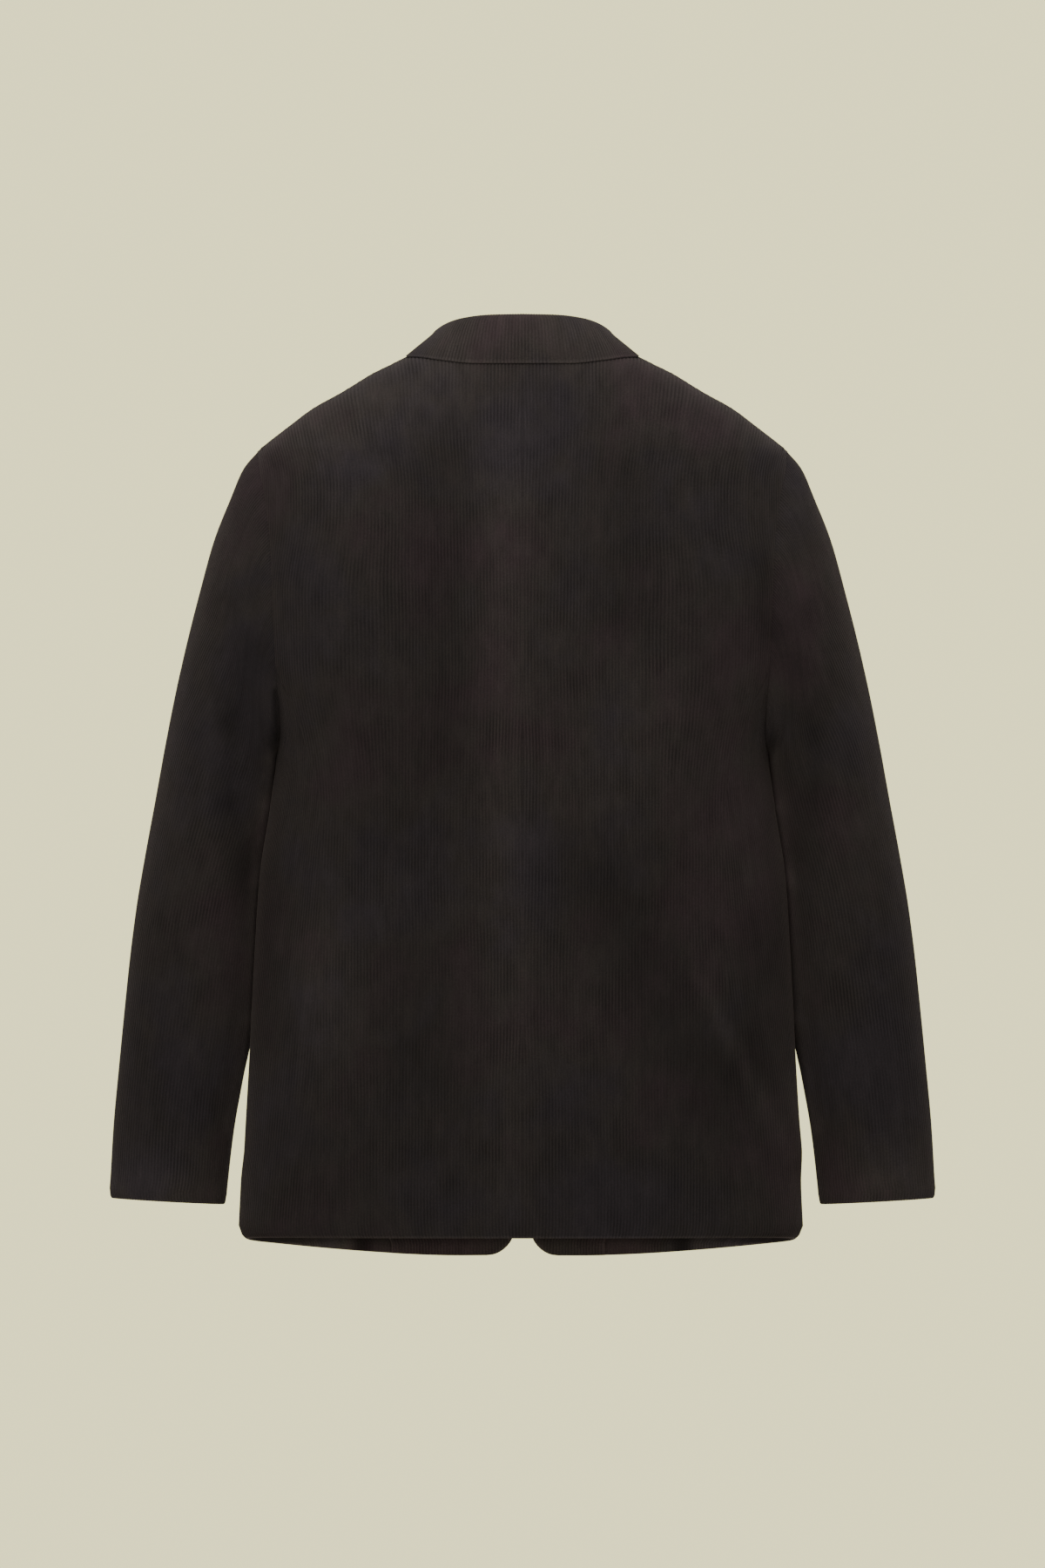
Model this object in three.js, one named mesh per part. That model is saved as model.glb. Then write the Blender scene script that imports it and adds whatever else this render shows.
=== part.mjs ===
// A hollow single-breasted jacket, standing open as it does when worn.
// Millimetres, +Z up. The wearer would face -Y, so the back is at +Y and the left side at +X.
// Heights in the tables are above the back hem, and the jacket is hung from its seat at the end.
// The body is a stack of rings. A place on it is an arc round the ring from the centre back and a
// height, and every body piece is a patch of such places, with its wall grown inwards.
import * as THREE from "three";

const WALL = 2.2; // cloth with its backing
const FACING_WALL = 1.4;
const SEAM_GAP = 0.2; // each piece stops this far short of its seam
const LAID_GAP = 0.6; // between a panel and what lies on it
const SEAT_HEIGHT = 720; // where the shoulders carry the jacket
const ARMHOLE = { middle: 530.5, halfHeight: 123.5, depth: 55, power: 2.4 };
const TURN_STEP = Math.PI / 15; // corners round the armhole, shared by all that meets there
const BACK_SEAM_TURN = 9 * TURN_STEP; // the side-back seam reaches the armhole here
const FRONT_SEAM_TURN = 12 * TURN_STEP; // and the side-front seam here
const NECK_BACK = 735; // neck seam at the centre back
const NECK_SIDE = 741; // neck seam at the shoulder
const GORGE = 700; // top of the lapel's roll line
const BREAK = 325; // where the lapel starts to turn over
const SEAM_ROWS = 12; // rows of corners up each side seam
const FRONT_DROP = 18; // the fronts hang this much lower than the back
const CORNER = 24; // radius of the fronts' lower corners
const OVERLAP = 18; // how far each front passes the centre
const LIFT = 4.9; // the left front lies this far over the right one
const LAP = { flat: 20, fade: 60, above: 40, over: 110 }; // where that lift fades out, round and up
const SEAM_BEND = 40; // a side seam bends to meet the armhole over this height
const HEM_DROP = { starts: 0.42, over: 0.52, until: 300 }; // shares of the way round, and a height
const BUTTON_GAP = 0.9; // thread between a button and the cloth
const BUTTON = { radius: 10.5, thick: 3.6, rim: 1.6, dish: 1.1, upper: 306, lower: 198 };

// Rings of the body from the hem to the neck.
const BODY = [
  { height: -30, width: 237, back: 102, front: 106, power: 2.35 },
  { height: 0, width: 235.5, back: 101, front: 105, power: 2.35 },
  { height: 80, width: 231.5, back: 97, front: 103, power: 2.35 },
  { height: 155, width: 227.3, back: 94, front: 101, power: 2.3 },
  { height: 230, width: 223.5, back: 93, front: 101, power: 2.3 },
  { height: 300, width: 219, back: 97, front: 106, power: 2.3 },
  { height: 360, width: 210, back: 107, front: 118, power: 2.3 },
  { height: 407, width: 204, back: 114, front: 126, power: 2.3 },
  { height: 440, width: 212, back: 117, front: 128, power: 2.3 },
  { height: 470, width: 220, back: 118, front: 127, power: 2.3 },
  { height: 520, width: 226, back: 117, front: 123, power: 2.3 },
  { height: 560, width: 228.5, back: 114, front: 117, power: 2.3 },
  { height: 600, width: 229, back: 109, front: 108, power: 2.3 },
  { height: 630, width: 227.5, back: 103, front: 98, power: 2.3 },
  { height: 654, width: 221, back: 98, front: 89, power: 2.3 },
  { height: 661, width: 213, back: 96.5, front: 86, power: 2.3 },
  { height: 675, width: 195, back: 93, front: 80, power: 2.3 },
  { height: 690, width: 175, back: 89, front: 73, power: 2.3 },
  { height: 704, width: 150, back: 85, front: 67, power: 2.3 },
  { height: 719, width: 124, back: 80.5, front: 60, power: 2.3 },
  { height: 726.5, width: 108, back: 78.5, front: 57, power: 2.3 },
  { height: 733, width: 95, back: 76.5, front: 54, power: 2.3 },
  { height: 741, width: 83, back: 74, front: 51, power: 2.3 },
  { height: 755, width: 68, back: 70, front: 46, power: 2.3 },
];

// The side-back and side-front seams, as distances from the middle seen straight on.
const BACK_SEAM = [
  { height: -30, across: 178 },
  { height: 0, across: 176 },
  { height: 150, across: 172 },
  { height: 300, across: 168 },
  { height: 360, across: 169 },
  { height: 410, across: 181 },
  { height: 450, across: 194 },
  { height: 484, across: 208 },
];
const FRONT_SEAM = [
  { height: -30, across: 196 },
  { height: 0, across: 195 },
  { height: 150, across: 189 },
  { height: 300, across: 182 },
  { height: 390, across: 188 },
  { height: 427, across: 200 },
];

// The front edge and then the roll line: arc from the centre front, negative past it.
const FRONT_EDGE = [
  { height: -30, arc: 8 },
  { height: 20, arc: 6 },
  { height: 90, arc: -6 },
  { height: 200, arc: -OVERLAP + 1 },
  { height: BREAK, arc: -OVERLAP },
  { height: 420, arc: 6 },
  { height: 540, arc: 32 },
  { height: 640, arc: 53 },
  { height: GORGE, arc: 66 },
];

// Facing and lapel widths, measured from the front edge or the roll line.
const FACING = { left: 112, right: 68, top: 320 };
const LAPEL = [
  { height: BREAK, width: 8 },
  { height: 400, width: 38 },
  { height: 500, width: 62 },
  { height: 600, width: 80 },
  { height: 646, width: 88 },
];
const LAPEL_TIP = 646;
const LAPEL_START = { left: BREAK + 10, right: BREAK + 47 }; // the right one starts behind the left front
const LAPEL_GAP = 0.9; // between a lapel and its front

// Sleeve rings from armhole to cuff: the outer and inner ends of each, its half depth and its
// place forward or back. The left sleeve is at +X.
const SLEEVE = [
  { ring: 0, outX: 221, outZ: 654, inX: 204, inZ: 407, depth: 55, shift: 0, power: 2.4 },
  { ring: 1, outX: 232.5, outZ: 640, inX: 206.5, inZ: 403, depth: 57, shift: 0, power: 2.35 },
  { ring: 2, outX: 244, outZ: 613, inX: 207.5, inZ: 400, depth: 59, shift: 0, power: 2.3 },
  { ring: 3, outX: 257, outZ: 580, inX: 207.5, inZ: 396, depth: 61, shift: -2, power: 2.25 },
  { ring: 4, outX: 269, outZ: 537, inX: 207.3, inZ: 390, depth: 63, shift: -7, power: 2.2 },
  { ring: 5, outX: 280, outZ: 494, inX: 207.9, inZ: 382, depth: 64.5, shift: -14, power: 2.2 },
  { ring: 6, outX: 290, outZ: 450, inX: 208.7, inZ: 372, depth: 65, shift: -21, power: 2.2 },
  { ring: 7, outX: 298.5, outZ: 407, inX: 210, inZ: 358, depth: 64.5, shift: -26, power: 2.15 },
  { ring: 8, outX: 306.5, outZ: 363, inX: 213.7, inZ: 332, depth: 62.5, shift: -29, power: 2.15 },
  { ring: 9, outX: 314.5, outZ: 320, inX: 217.7, inZ: 298, depth: 60, shift: -31, power: 2.15 },
  { ring: 10, outX: 322, outZ: 276, inX: 219.9, inZ: 260, depth: 57.5, shift: -32, power: 2.15 },
  { ring: 11, outX: 327.7, outZ: 232, inX: 221.9, inZ: 219, depth: 55, shift: -32, power: 2.15 },
  { ring: 12, outX: 332.3, outZ: 188, inX: 224.3, inZ: 178, depth: 52.5, shift: -32, power: 2.1 },
  { ring: 13, outX: 337.2, outZ: 138, inX: 233.5, inZ: 131, depth: 50, shift: -32, power: 2.1 },
  { ring: 14, outX: 341.5, outZ: 91, inX: 241.4, inZ: 86, depth: 47, shift: -32, power: 2.1 },
  { ring: 15, outX: 344, outZ: 48, inX: 246.4, inZ: 43, depth: 44, shift: -32.5, power: 2.1 },
  { ring: 16, outX: 344.8, outZ: 32.5, inX: 248, inZ: 27.5, depth: 43, shift: -33, power: 2.1 },
];

const SLEEVE_RADIUS = 50; // a mean, for the seam gaps
const CAP_RINGS = 3; // the sleeve takes the armhole's exact shape over this many rings

// Where the two sleeve seams run, in degrees round each ring from its outer end.
const SLEEVE_SEAMS = [
  { ring: 0, back: 72, front: -108 },
  { ring: 3, back: 90, front: -117 },
  { ring: 7, back: 102, front: -124 },
  { ring: 10, back: 109, front: -128 },
  { ring: 13, back: 128, front: -132 },
  { ring: 16, back: 146, front: -134 },
];

// The collar from the centre back to its front end: its place along the neck edge of the back and
// then of the front, the fold, how far the fall arches over the cloth below, and the outer edge.
const COLLAR = [
  { step: 0, along: 0, foldX: 0, foldY: 69, foldZ: 767.6, crown: 1.5, edgeX: 0, edgeZ: 726 },
  { step: 1, along: 0.24, foldX: 29, foldY: 65, foldZ: 766.9, crown: 1.5, edgeX: 38, edgeZ: 726 },
  { step: 2, along: 0.46, foldX: 51.5, foldY: 51, foldZ: 764.4, crown: 1.2, edgeX: 70, edgeZ: 726 },
  { step: 3, along: 0.72, foldX: 65.5, foldY: 31, foldZ: 759, crown: 1.5, edgeX: 94, edgeZ: 726.8 },
  { step: 4, along: 1, foldX: 74, foldY: 4, foldZ: 752.4, crown: 0.8, edgeX: 108, edgeZ: 727 },
  { step: 5, along: 1.28, foldX: 75.5, foldY: -19, foldZ: 746, crown: 1, edgeX: 113, edgeZ: 716.5 },
  { step: 6, along: 1.64, foldX: 73.5, foldY: -43, foldZ: 731, crown: 2, edgeX: 112, edgeZ: 700 },
  { step: 7, along: 2, foldX: 65, foldY: -62.5, foldZ: 711, crown: 4, edgeX: 107, edgeZ: 679 },
];
const STAND_INSET = 2.9; // the stand starts this far inside the neck edge
const STAND_RISE = 0.6;
const COLLAR_FOLD = { drop: 3.2, inside: 0.6, outside: 5.1 }; // the rounded fold, either side of its top

// Soft folds: arc from the centre back and height at both ends of each, its half width, how far it
// stands out, and the side it is on, +1 for the left.
const FOLDS = [
  { side: -1, arcLow: 262, low: 60, arcHigh: 138, high: 250, width: 20, depth: 2.4 },
  { side: -1, arcLow: 105, low: 90, arcHigh: 120, high: 300, width: 34, depth: -2.6 },
  { side: -1, arcLow: 128, low: 330, arcHigh: 150, high: 560, width: 14, depth: 1.6 },
  { side: -1, arcLow: 88, low: 320, arcHigh: 84, high: 540, width: 13, depth: -1.4 },
  { side: 1, arcLow: 150, low: 40, arcHigh: 122, high: 290, width: 20, depth: 1.8 },
  { side: 1, arcLow: 96, low: 80, arcHigh: 92, high: 330, width: 28, depth: -1.8 },
  { side: 1, arcLow: 140, low: 340, arcHigh: 162, high: 570, width: 15, depth: 1.4 },
];

const CLOTH = { color: 0x2c2723, roughness: 0.95, metalness: 0 };
const CLOTH_SHADE = { color: 0x26211e, roughness: 0.95, metalness: 0 };
const HORN = { color: 0x2a1f18, roughness: 0.4, metalness: 0 };

// ---- small mathematics ----

function mix(a, b, share) {
  return a + (b - a) * share;
}

function ease(share) {
  const t = Math.min(1, Math.max(0, share));
  return t * t * (3 - 2 * t);
}

// A smooth curve through one column of a table, with no overshoot between its rows.
function curve(rows, along, column, at) {
  const last = rows.length - 1;
  const steps = rows.slice(1).map((row, i) => row[along] - rows[i][along]);
  const rises = steps.map((step, i) => (rows[i + 1][column] - rows[i][column]) / step);
  const slope = (i) => {
    if (i === 0) return rises[0];
    if (i === last) return rises[last - 1];
    const product = rises[i - 1] * rises[i];
    return product <= 0 ? 0 : (2 * product) / (rises[i - 1] + rises[i]);
  };
  let i = 0;
  while (i < last - 1 && at > rows[i + 1][along]) i += 1;
  const t = Math.min(1, Math.max(0, (at - rows[i][along]) / steps[i]));
  const low = rows[i][column] * (1 + 2 * t) * (1 - t) ** 2 + slope(i) * steps[i] * t * (1 - t) ** 2;
  const high = rows[i + 1][column] * t * t * (3 - 2 * t) + slope(i + 1) * steps[i] * t * t * (t - 1);
  return low + high;
}

function rounded(value, power) {
  return Math.sign(value) * Math.abs(value) ** (2 / power);
}

function perpendicular(pointAt, a, b, stepA, stepB) {
  const alongA = pointAt(a + stepA, b).sub(pointAt(a - stepA, b));
  const alongB = pointAt(a, b + stepB).sub(pointAt(a, b - stepB));
  return alongA.cross(alongB).normalize();
}

// ---- the body's rings ----

const RING_STEPS = 180;
const ringCache = new Map();

// The half ring at a height, from the centre back to the centre front, with its running length.
function ringAt(height) {
  const key = height.toFixed(4);
  if (ringCache.has(key)) return ringCache.get(key);
  const [width, back, front, power] = ["width", "back", "front", "power"].map((column) =>
    curve(BODY, "height", column, height),
  );
  const points = [];
  const lengths = [];
  for (let i = 0; i <= RING_STEPS; i += 1) {
    const turn = (Math.PI * i) / RING_STEPS;
    const depth = i * 2 < RING_STEPS ? back : front;
    const across = i === RING_STEPS ? 0 : width * rounded(Math.sin(turn), power);
    const deep = i * 2 === RING_STEPS ? 0 : depth * rounded(Math.cos(turn), power);
    points.push(new THREE.Vector2(across, deep));
    lengths.push(i === 0 ? 0 : lengths[i - 1] + points[i].distanceTo(points[i - 1]));
  }
  const ring = { points, lengths, width, back, front, power, half: lengths[RING_STEPS] };
  ring.quarter = lengths[RING_STEPS / 2];
  ringCache.set(key, ring);
  return ring;
}

function ringPoint(arc, height) {
  const ring = ringAt(height);
  const beyond = arc > ring.half;
  const mirror = arc < 0 || beyond ? -1 : 1;
  const along = Math.min(beyond ? 2 * ring.half - arc : Math.abs(arc), ring.half);
  let low = 0;
  let high = RING_STEPS;
  while (high - low > 1) {
    const middle = (low + high) >> 1;
    if (ring.lengths[middle] <= along) low = middle;
    else high = middle;
  }
  const share = (along - ring.lengths[low]) / (ring.lengths[high] - ring.lengths[low]);
  const flat = ring.points[low].clone().lerp(ring.points[high], share);
  return new THREE.Vector3(mirror * flat.x, flat.y, height);
}

// The arc of the point at a turn from the centre back, in radians.
function arcAtTurn(height, turn) {
  const ring = ringAt(height);
  const place = (turn / Math.PI) * RING_STEPS;
  const low = Math.min(Math.floor(place), RING_STEPS - 1);
  return mix(ring.lengths[low], ring.lengths[low + 1], place - low);
}

function arcAtDepth(height, y) {
  const ring = ringAt(height);
  const depth = y > 0 ? ring.back : ring.front;
  const cosine = Math.sign(y) * Math.min(1, Math.abs(y) / depth) ** (ring.power / 2);
  return arcAtTurn(height, Math.acos(cosine));
}

function arcAtWidth(height, x, side) {
  const ring = ringAt(height);
  const turn = Math.asin(Math.min(1, x / ring.width) ** (ring.power / 2));
  return arcAtTurn(height, side > 0 ? turn : Math.PI - turn);
}

function foldAt(side, arc, height) {
  return FOLDS.filter((fold) => fold.side === side).reduce((sum, fold) => {
    const share = (height - fold.low) / (fold.high - fold.low);
    const off = (arc - mix(fold.arcLow, fold.arcHigh, share)) / fold.width;
    const fade = ease(share * 3.5 + 0.5) * ease((1 - share) * 3.5 + 0.5);
    return sum + fold.depth * fade * Math.exp(-off * off);
  }, 0);
}

// A point of the body's cloth on the left side, with that side's or the other side's folds,
// moved out from it by a distance.
function clothPoint(side, arc, height, out) {
  const normal = perpendicular(ringPoint, arc, height, 0.6, 0.6).negate();
  return ringPoint(arc, height).addScaledVector(normal, out + foldAt(side, arc, height));
}

// ---- armhole, seams and hem ----

const SHOULDER = ARMHOLE.middle + ARMHOLE.halfHeight;

// A place on the armhole, by its turn from the top towards the back.
function armholePoint(turn) {
  const y = ARMHOLE.depth * rounded(Math.sin(turn), ARMHOLE.power);
  const height = ARMHOLE.middle + ARMHOLE.halfHeight * rounded(Math.cos(turn), ARMHOLE.power);
  return { arc: arcAtDepth(height, y), height };
}

// The turn round the armhole, from its top towards the back, at which it has a height.
function armholeTurn(height) {
  const share = (height - ARMHOLE.middle) / ARMHOLE.halfHeight;
  const clipped = Math.min(1, Math.abs(share));
  return Math.acos(Math.sign(share) * clipped ** (ARMHOLE.power / 2));
}

// The outer edge of the back: side seam, then armhole, then shoulder seam.
function backEdge(height) {
  const top = armholePoint(BACK_SEAM_TURN);
  if (height <= top.height) {
    const seam = arcAtWidth(height, curve(BACK_SEAM, "height", "across", height), 1);
    return mix(seam, top.arc, ease((height - top.height) / SEAM_BEND + 1));
  }
  return height < SHOULDER ? armholePoint(armholeTurn(height)).arc : ringAt(height).quarter;
}

// The outer edge of the front, which runs the same way.
function frontSideEdge(height) {
  const top = armholePoint(-FRONT_SEAM_TURN);
  if (height <= top.height) {
    const seam = arcAtWidth(height, curve(FRONT_SEAM, "height", "across", height), -1);
    return mix(seam, top.arc, ease((height - top.height) / SEAM_BEND + 1));
  }
  return height < SHOULDER ? armholePoint(-armholeTurn(height)).arc : ringAt(height).quarter;
}

// How far a level line drops towards the front, all of it at the hem and none above the waist.
function hemDrop(arc, level) {
  const round = arc / ringAt(0).half;
  const fade = Math.max(0, 1 - level / HEM_DROP.until) ** 1.5;
  return -FRONT_DROP * ease((round - HEM_DROP.starts) / HEM_DROP.over) * fade;
}

// ---- walls ----

function wallGeometry(outer, inner) {
  const rows = outer.length;
  const columns = outer[0].length;
  const corners = [...outer.flat(), ...inner.flat()];
  const at = (j, i, under) => under * rows * columns + j * columns + i;
  const faces = [];
  const quad = (a, b, c, d) => faces.push(a, b, c, a, c, d);
  const end = columns - 1;
  for (let j = 0; j + 1 < rows; j += 1) {
    for (let i = 0; i + 1 < columns; i += 1) {
      quad(at(j, i, 0), at(j, i + 1, 0), at(j + 1, i + 1, 0), at(j + 1, i, 0));
      quad(at(j, i, 1), at(j + 1, i, 1), at(j + 1, i + 1, 1), at(j, i + 1, 1));
    }
    quad(at(j, 0, 0), at(j + 1, 0, 0), at(j + 1, 0, 1), at(j, 0, 1));
    quad(at(j, end, 0), at(j, end, 1), at(j + 1, end, 1), at(j + 1, end, 0));
  }
  for (let i = 0; i + 1 < columns; i += 1) {
    quad(at(0, i, 0), at(0, i, 1), at(0, i + 1, 1), at(0, i + 1, 0));
    quad(at(rows - 1, i, 0), at(rows - 1, i + 1, 0), at(rows - 1, i + 1, 1), at(rows - 1, i, 1));
  }
  const geometry = new THREE.BufferGeometry();
  const values = corners.flatMap((corner) => corner.toArray());
  geometry.setAttribute("position", new THREE.Float32BufferAttribute(values, 3));
  geometry.setIndex(faces);
  return facingOut(geometry);
}

function facingOut(geometry) {
  const at = geometry.getAttribute("position");
  const index = geometry.getIndex().array;
  const corner = (i) => new THREE.Vector3().fromBufferAttribute(at, index[i]);
  let volume = 0;
  for (let i = 0; i < index.length; i += 3) volume += corner(i).dot(corner(i + 1).cross(corner(i + 2)));
  if (volume < 0) index.reverse();
  geometry.computeVertexNormals();
  return geometry;
}

// A grid of points: place gives one for each share across and each row.
function grid(columns, rows, place) {
  return rows.map((row) => Array.from({ length: columns + 1 }, (_, i) => place(i / columns, row)));
}

// A body piece: place gives [arc, height] for each share across and row, and lift its distance out.
function bodyPiece(side, columns, rows, place, lift = () => 0, thick = WALL) {
  const layer = (under) =>
    grid(columns, rows, (u, row) => {
      const [arc, height] = place(u, row);
      const point = clothPoint(side, arc, height, lift(arc, height) - under);
      point.x *= side;
      return point;
    });
  return wallGeometry(layer(0), layer(thick));
}

// Rows of equal steps between heights, each part given as [from, to, steps].
function levels(...parts) {
  const inside = parts.flatMap(([from, to, steps]) =>
    Array.from({ length: steps }, (_, i) => mix(from, to, i / steps)),
  );
  return [...inside, parts[parts.length - 1][1]];
}

// Row heights up the side seam, round the armhole to the shoulder, and along the shoulder seam.
function panelRows(seamTurn) {
  const turns = Math.round(seamTurn / TURN_STEP);
  const upArmhole = Array.from({ length: turns }, (_, i) => armholePoint(seamTurn - i * TURN_STEP).height);
  const upSeam = levels([0, upArmhole[0], SEAM_ROWS]).slice(0, -1);
  return [...upSeam, ...upArmhole, ...levels([SHOULDER, SHOULDER + 18, 3], [SHOULDER + 18, NECK_SIDE, 5])];
}

// A place on the back, from the centre to its outer edge, on the row that meets that edge there.
function backPlace(across, row) {
  const seamTop = armholePoint(BACK_SEAM_TURN).height;
  const rise = (row - seamTop) / (NECK_SIDE - seamTop);
  const middle = rise > 0 ? mix(seamTop, NECK_BACK, rise) : row;
  return [mix(SEAM_GAP, backEdge(row) - SEAM_GAP, across), mix(middle, row, across * across)];
}

function backPiece(side) {
  return bodyPiece(side, 10, panelRows(BACK_SEAM_TURN), backPlace);
}

function sidePiece(side) {
  const backTop = armholePoint(BACK_SEAM_TURN).height;
  const frontTop = armholePoint(-FRONT_SEAM_TURN).height;
  const between = (backArc, frontArc, u) => mix(backArc + SEAM_GAP, frontArc - SEAM_GAP, u);
  const place = (u, rise) => {
    const top = armholePoint(mix(BACK_SEAM_TURN, 2 * Math.PI - FRONT_SEAM_TURN, u));
    const bend = top.arc - mix(backEdge(backTop), frontSideEdge(frontTop), u);
    const arc = between(backEdge(backTop * rise), frontSideEdge(frontTop * rise), u) + bend * rise ** 3;
    const level = top.height * rise;
    return [arc, level + hemDrop(arc, level) - 3 * SEAM_GAP * rise];
  };
  return bodyPiece(side, 9, levels([0, 1, SEAM_ROWS]), place);
}

// The front's inner edge, with the lower corner rounded off.
function frontEdge(level) {
  const left = Math.min(1, Math.max(0, level / CORNER));
  const corner = CORNER - Math.sqrt(CORNER * CORNER - (CORNER * (1 - left)) ** 2);
  return curve(FRONT_EDGE, "height", "arc", level) + corner;
}

function leftLift(side) {
  return (arc, height) => {
    if (side < 0) return 0;
    const fromMiddle = ringAt(height).half - arc;
    const up = (BREAK + LAP.above + LAP.over - height) / LAP.over;
    return LIFT * ease(1 - (fromMiddle - LAP.flat) / LAP.fade) * ease(up);
  };
}

function cornerLevels() {
  return [0, 0.12, 0.3, 0.6, 1].map((share) => CORNER * share);
}

// A place on a front, from its edge or roll line to its outer edge.
function frontPlace(across, row) {
  const seamTop = armholePoint(-FRONT_SEAM_TURN).height;
  const rise = (row - seamTop) / (NECK_SIDE - seamTop);
  const middle = rise > 0 ? mix(seamTop, GORGE, rise) : row;
  const outer = ringAt(row).half - frontSideEdge(row) - SEAM_GAP;
  const level = mix(middle, row, across);
  const arc = ringAt(level).half - mix(frontEdge(middle), outer, across);
  return [arc, level + hemDrop(arc, level)];
}

function frontPiece(side) {
  const rows = [...cornerLevels(), ...panelRows(FRONT_SEAM_TURN).slice(1)];
  return bodyPiece(side, 10, rows, frontPlace, leftLift(side));
}

function facingPiece(side) {
  const panel = panelRows(FRONT_SEAM_TURN).slice(1);
  const rows = [...cornerLevels(), ...panel].filter((row) => row < FACING.top);
  const width = side > 0 ? FACING.left : FACING.right;
  const place = (u, row) => {
    const arc = ringAt(row).half - mix(frontEdge(row) + 1, frontEdge(CORNER) + width, u);
    return [arc, row + hemDrop(arc, row)];
  };
  const lift = (arc, height) => leftLift(side)(arc, height) - WALL - LAID_GAP;
  return bodyPiece(side, 5, rows, place, lift, FACING_WALL);
}

function lapelPiece(side) {
  const rows = levels([side > 0 ? LAPEL_START.left : LAPEL_START.right, LAPEL_TIP, 12]);
  const place = (u, row) => {
    const middle = mix(rows[0], GORGE - 3, (row - rows[0]) / (LAPEL_TIP - rows[0]));
    const roll = curve(FRONT_EDGE, "height", "arc", middle) + 1;
    const inner = side > 0 ? roll : Math.abs(roll) + 2;
    const outer = curve(FRONT_EDGE, "height", "arc", row) + curve(LAPEL, "height", "width", row);
    const height = mix(middle, row, u);
    return [ringAt(height).half - mix(inner, Math.max(outer, inner + 3), u), height];
  };
  const lift = (arc, height) => leftLift(side)(arc, height) + WALL + LAPEL_GAP;
  return bodyPiece(side, 6, rows, place, lift);
}

// ---- sleeves ----

function sleeveRing(turn, ring) {
  const row = {};
  for (const column of Object.keys(SLEEVE[0])) row[column] = curve(SLEEVE, "ring", column, ring);
  const along = rounded(Math.cos(turn), row.power) / 2;
  return new THREE.Vector3(
    mix(row.inX, row.outX, 0.5 + along),
    row.shift + row.depth * rounded(Math.sin(turn), row.power),
    mix(row.inZ, row.outZ, 0.5 + along),
  );
}

function sleevePoint(turn, ring) {
  const fade = Math.max(0, 1 - Math.max(0, ring) / CAP_RINGS) ** 2;
  const point = sleeveRing(turn, ring);
  if (fade === 0) return point;
  const hole = armholePoint(turn);
  const seam = ringPoint(hole.arc, hole.height).sub(sleeveRing(turn, 0));
  return point.addScaledVector(seam, fade);
}

// A sleeve piece between two columns of the seam table, the long way or the short way round.
function sleevePiece(side, columns, first, last) {
  const rings = levels([0, 6, 9], [6, 15, 12], [15, 16, 1]);
  const layer = (under) =>
    grid(columns, rings, (u, ring) => {
      const gap = THREE.MathUtils.radToDeg(SEAM_GAP / SLEEVE_RADIUS);
      const turn = THREE.MathUtils.degToRad(mix(first(ring) + gap, last(ring) - gap, u));
      const along = Math.max(ring, 0.05);
      const normal = perpendicular(sleevePoint, turn, along, 0.01, 0.04);
      const point = sleevePoint(turn, along).addScaledVector(normal, under);
      point.x *= side;
      return point;
    });
  return wallGeometry(layer(0), layer(WALL));
}

function sleevePieces(side) {
  const back = (ring) => curve(SLEEVE_SEAMS, "ring", "back", ring);
  const front = (ring) => curve(SLEEVE_SEAMS, "ring", "front", ring);
  return {
    top: sleevePiece(side, 15, front, back),
    under: sleevePiece(side, 10, back, (ring) => front(ring) + 360),
  };
}

// ---- collar ----

// A point of the collar, from the neck seam up over the fold and down to the outer edge.
function collarPoint(step, share) {
  const at = Math.abs(step);
  const row = {};
  for (const column of Object.keys(COLLAR[0])) row[column] = curve(COLLAR, "step", column, at);
  const neck = row.along < 1 ? backPlace(row.along, NECK_SIDE) : frontPlace(2 - row.along, NECK_SIDE);
  const seam = clothPoint(1, ...neck, -WALL);
  const inwards = seam.clone().setZ(0).normalize().multiplyScalar(-STAND_INSET);
  seam.add(inwards).setZ(seam.z + STAND_RISE);
  const fold = new THREE.Vector3(row.foldX, row.foldY, row.foldZ);
  const edgeArc = arcAtWidth(row.edgeZ, row.edgeX, at > 4 ? -1 : 1);
  const edge = clothPoint(1, edgeArc, row.edgeZ, WALL + LAID_GAP);
  const outwards = edge.clone().sub(seam).setZ(0).normalize();
  const bendHeight = fold.z - COLLAR_FOLD.drop;
  const bendIn = fold.clone().addScaledVector(outwards, -COLLAR_FOLD.inside).setZ(bendHeight);
  const bendOut = fold.clone().addScaledVector(outwards, COLLAR_FOLD.outside).setZ(bendHeight);
  const fall = bendOut.clone().lerp(edge, 0.5).addScaledVector(outwards, row.crown / 2);
  fall.z += row.crown;
  const path = new THREE.CatmullRomCurve3([seam, bendIn, fold, bendOut, fall, edge], false, "centripetal");
  const point = path.getPoint(Math.min(1, Math.max(0, share)));
  if (step < 0) point.x = -point.x;
  return point;
}

function collarPiece() {
  const steps = levels([-7, 7, 32]);
  const layer = (under) =>
    grid(12, steps, (share, step) => {
      const normal = perpendicular(collarPoint, step, share, 0.02, 0.01);
      return collarPoint(step, share).addScaledVector(normal, -under);
    });
  return wallGeometry(layer(0), layer(WALL));
}

// ---- buttons ----

function buttonGeometry() {
  const { radius, thick, rim, dish } = BUTTON;
  const profile = [
    [0, 0],
    [radius - 1, 0],
    [radius, 1],
    [radius, thick - 0.8],
    [radius - 0.8, thick],
    [radius - rim, thick],
    [radius - rim - 0.8, thick - dish],
    [0, thick - dish],
  ].map(([across, up]) => new THREE.Vector2(across, up));
  return new THREE.LatheGeometry(profile, 28);
}

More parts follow.
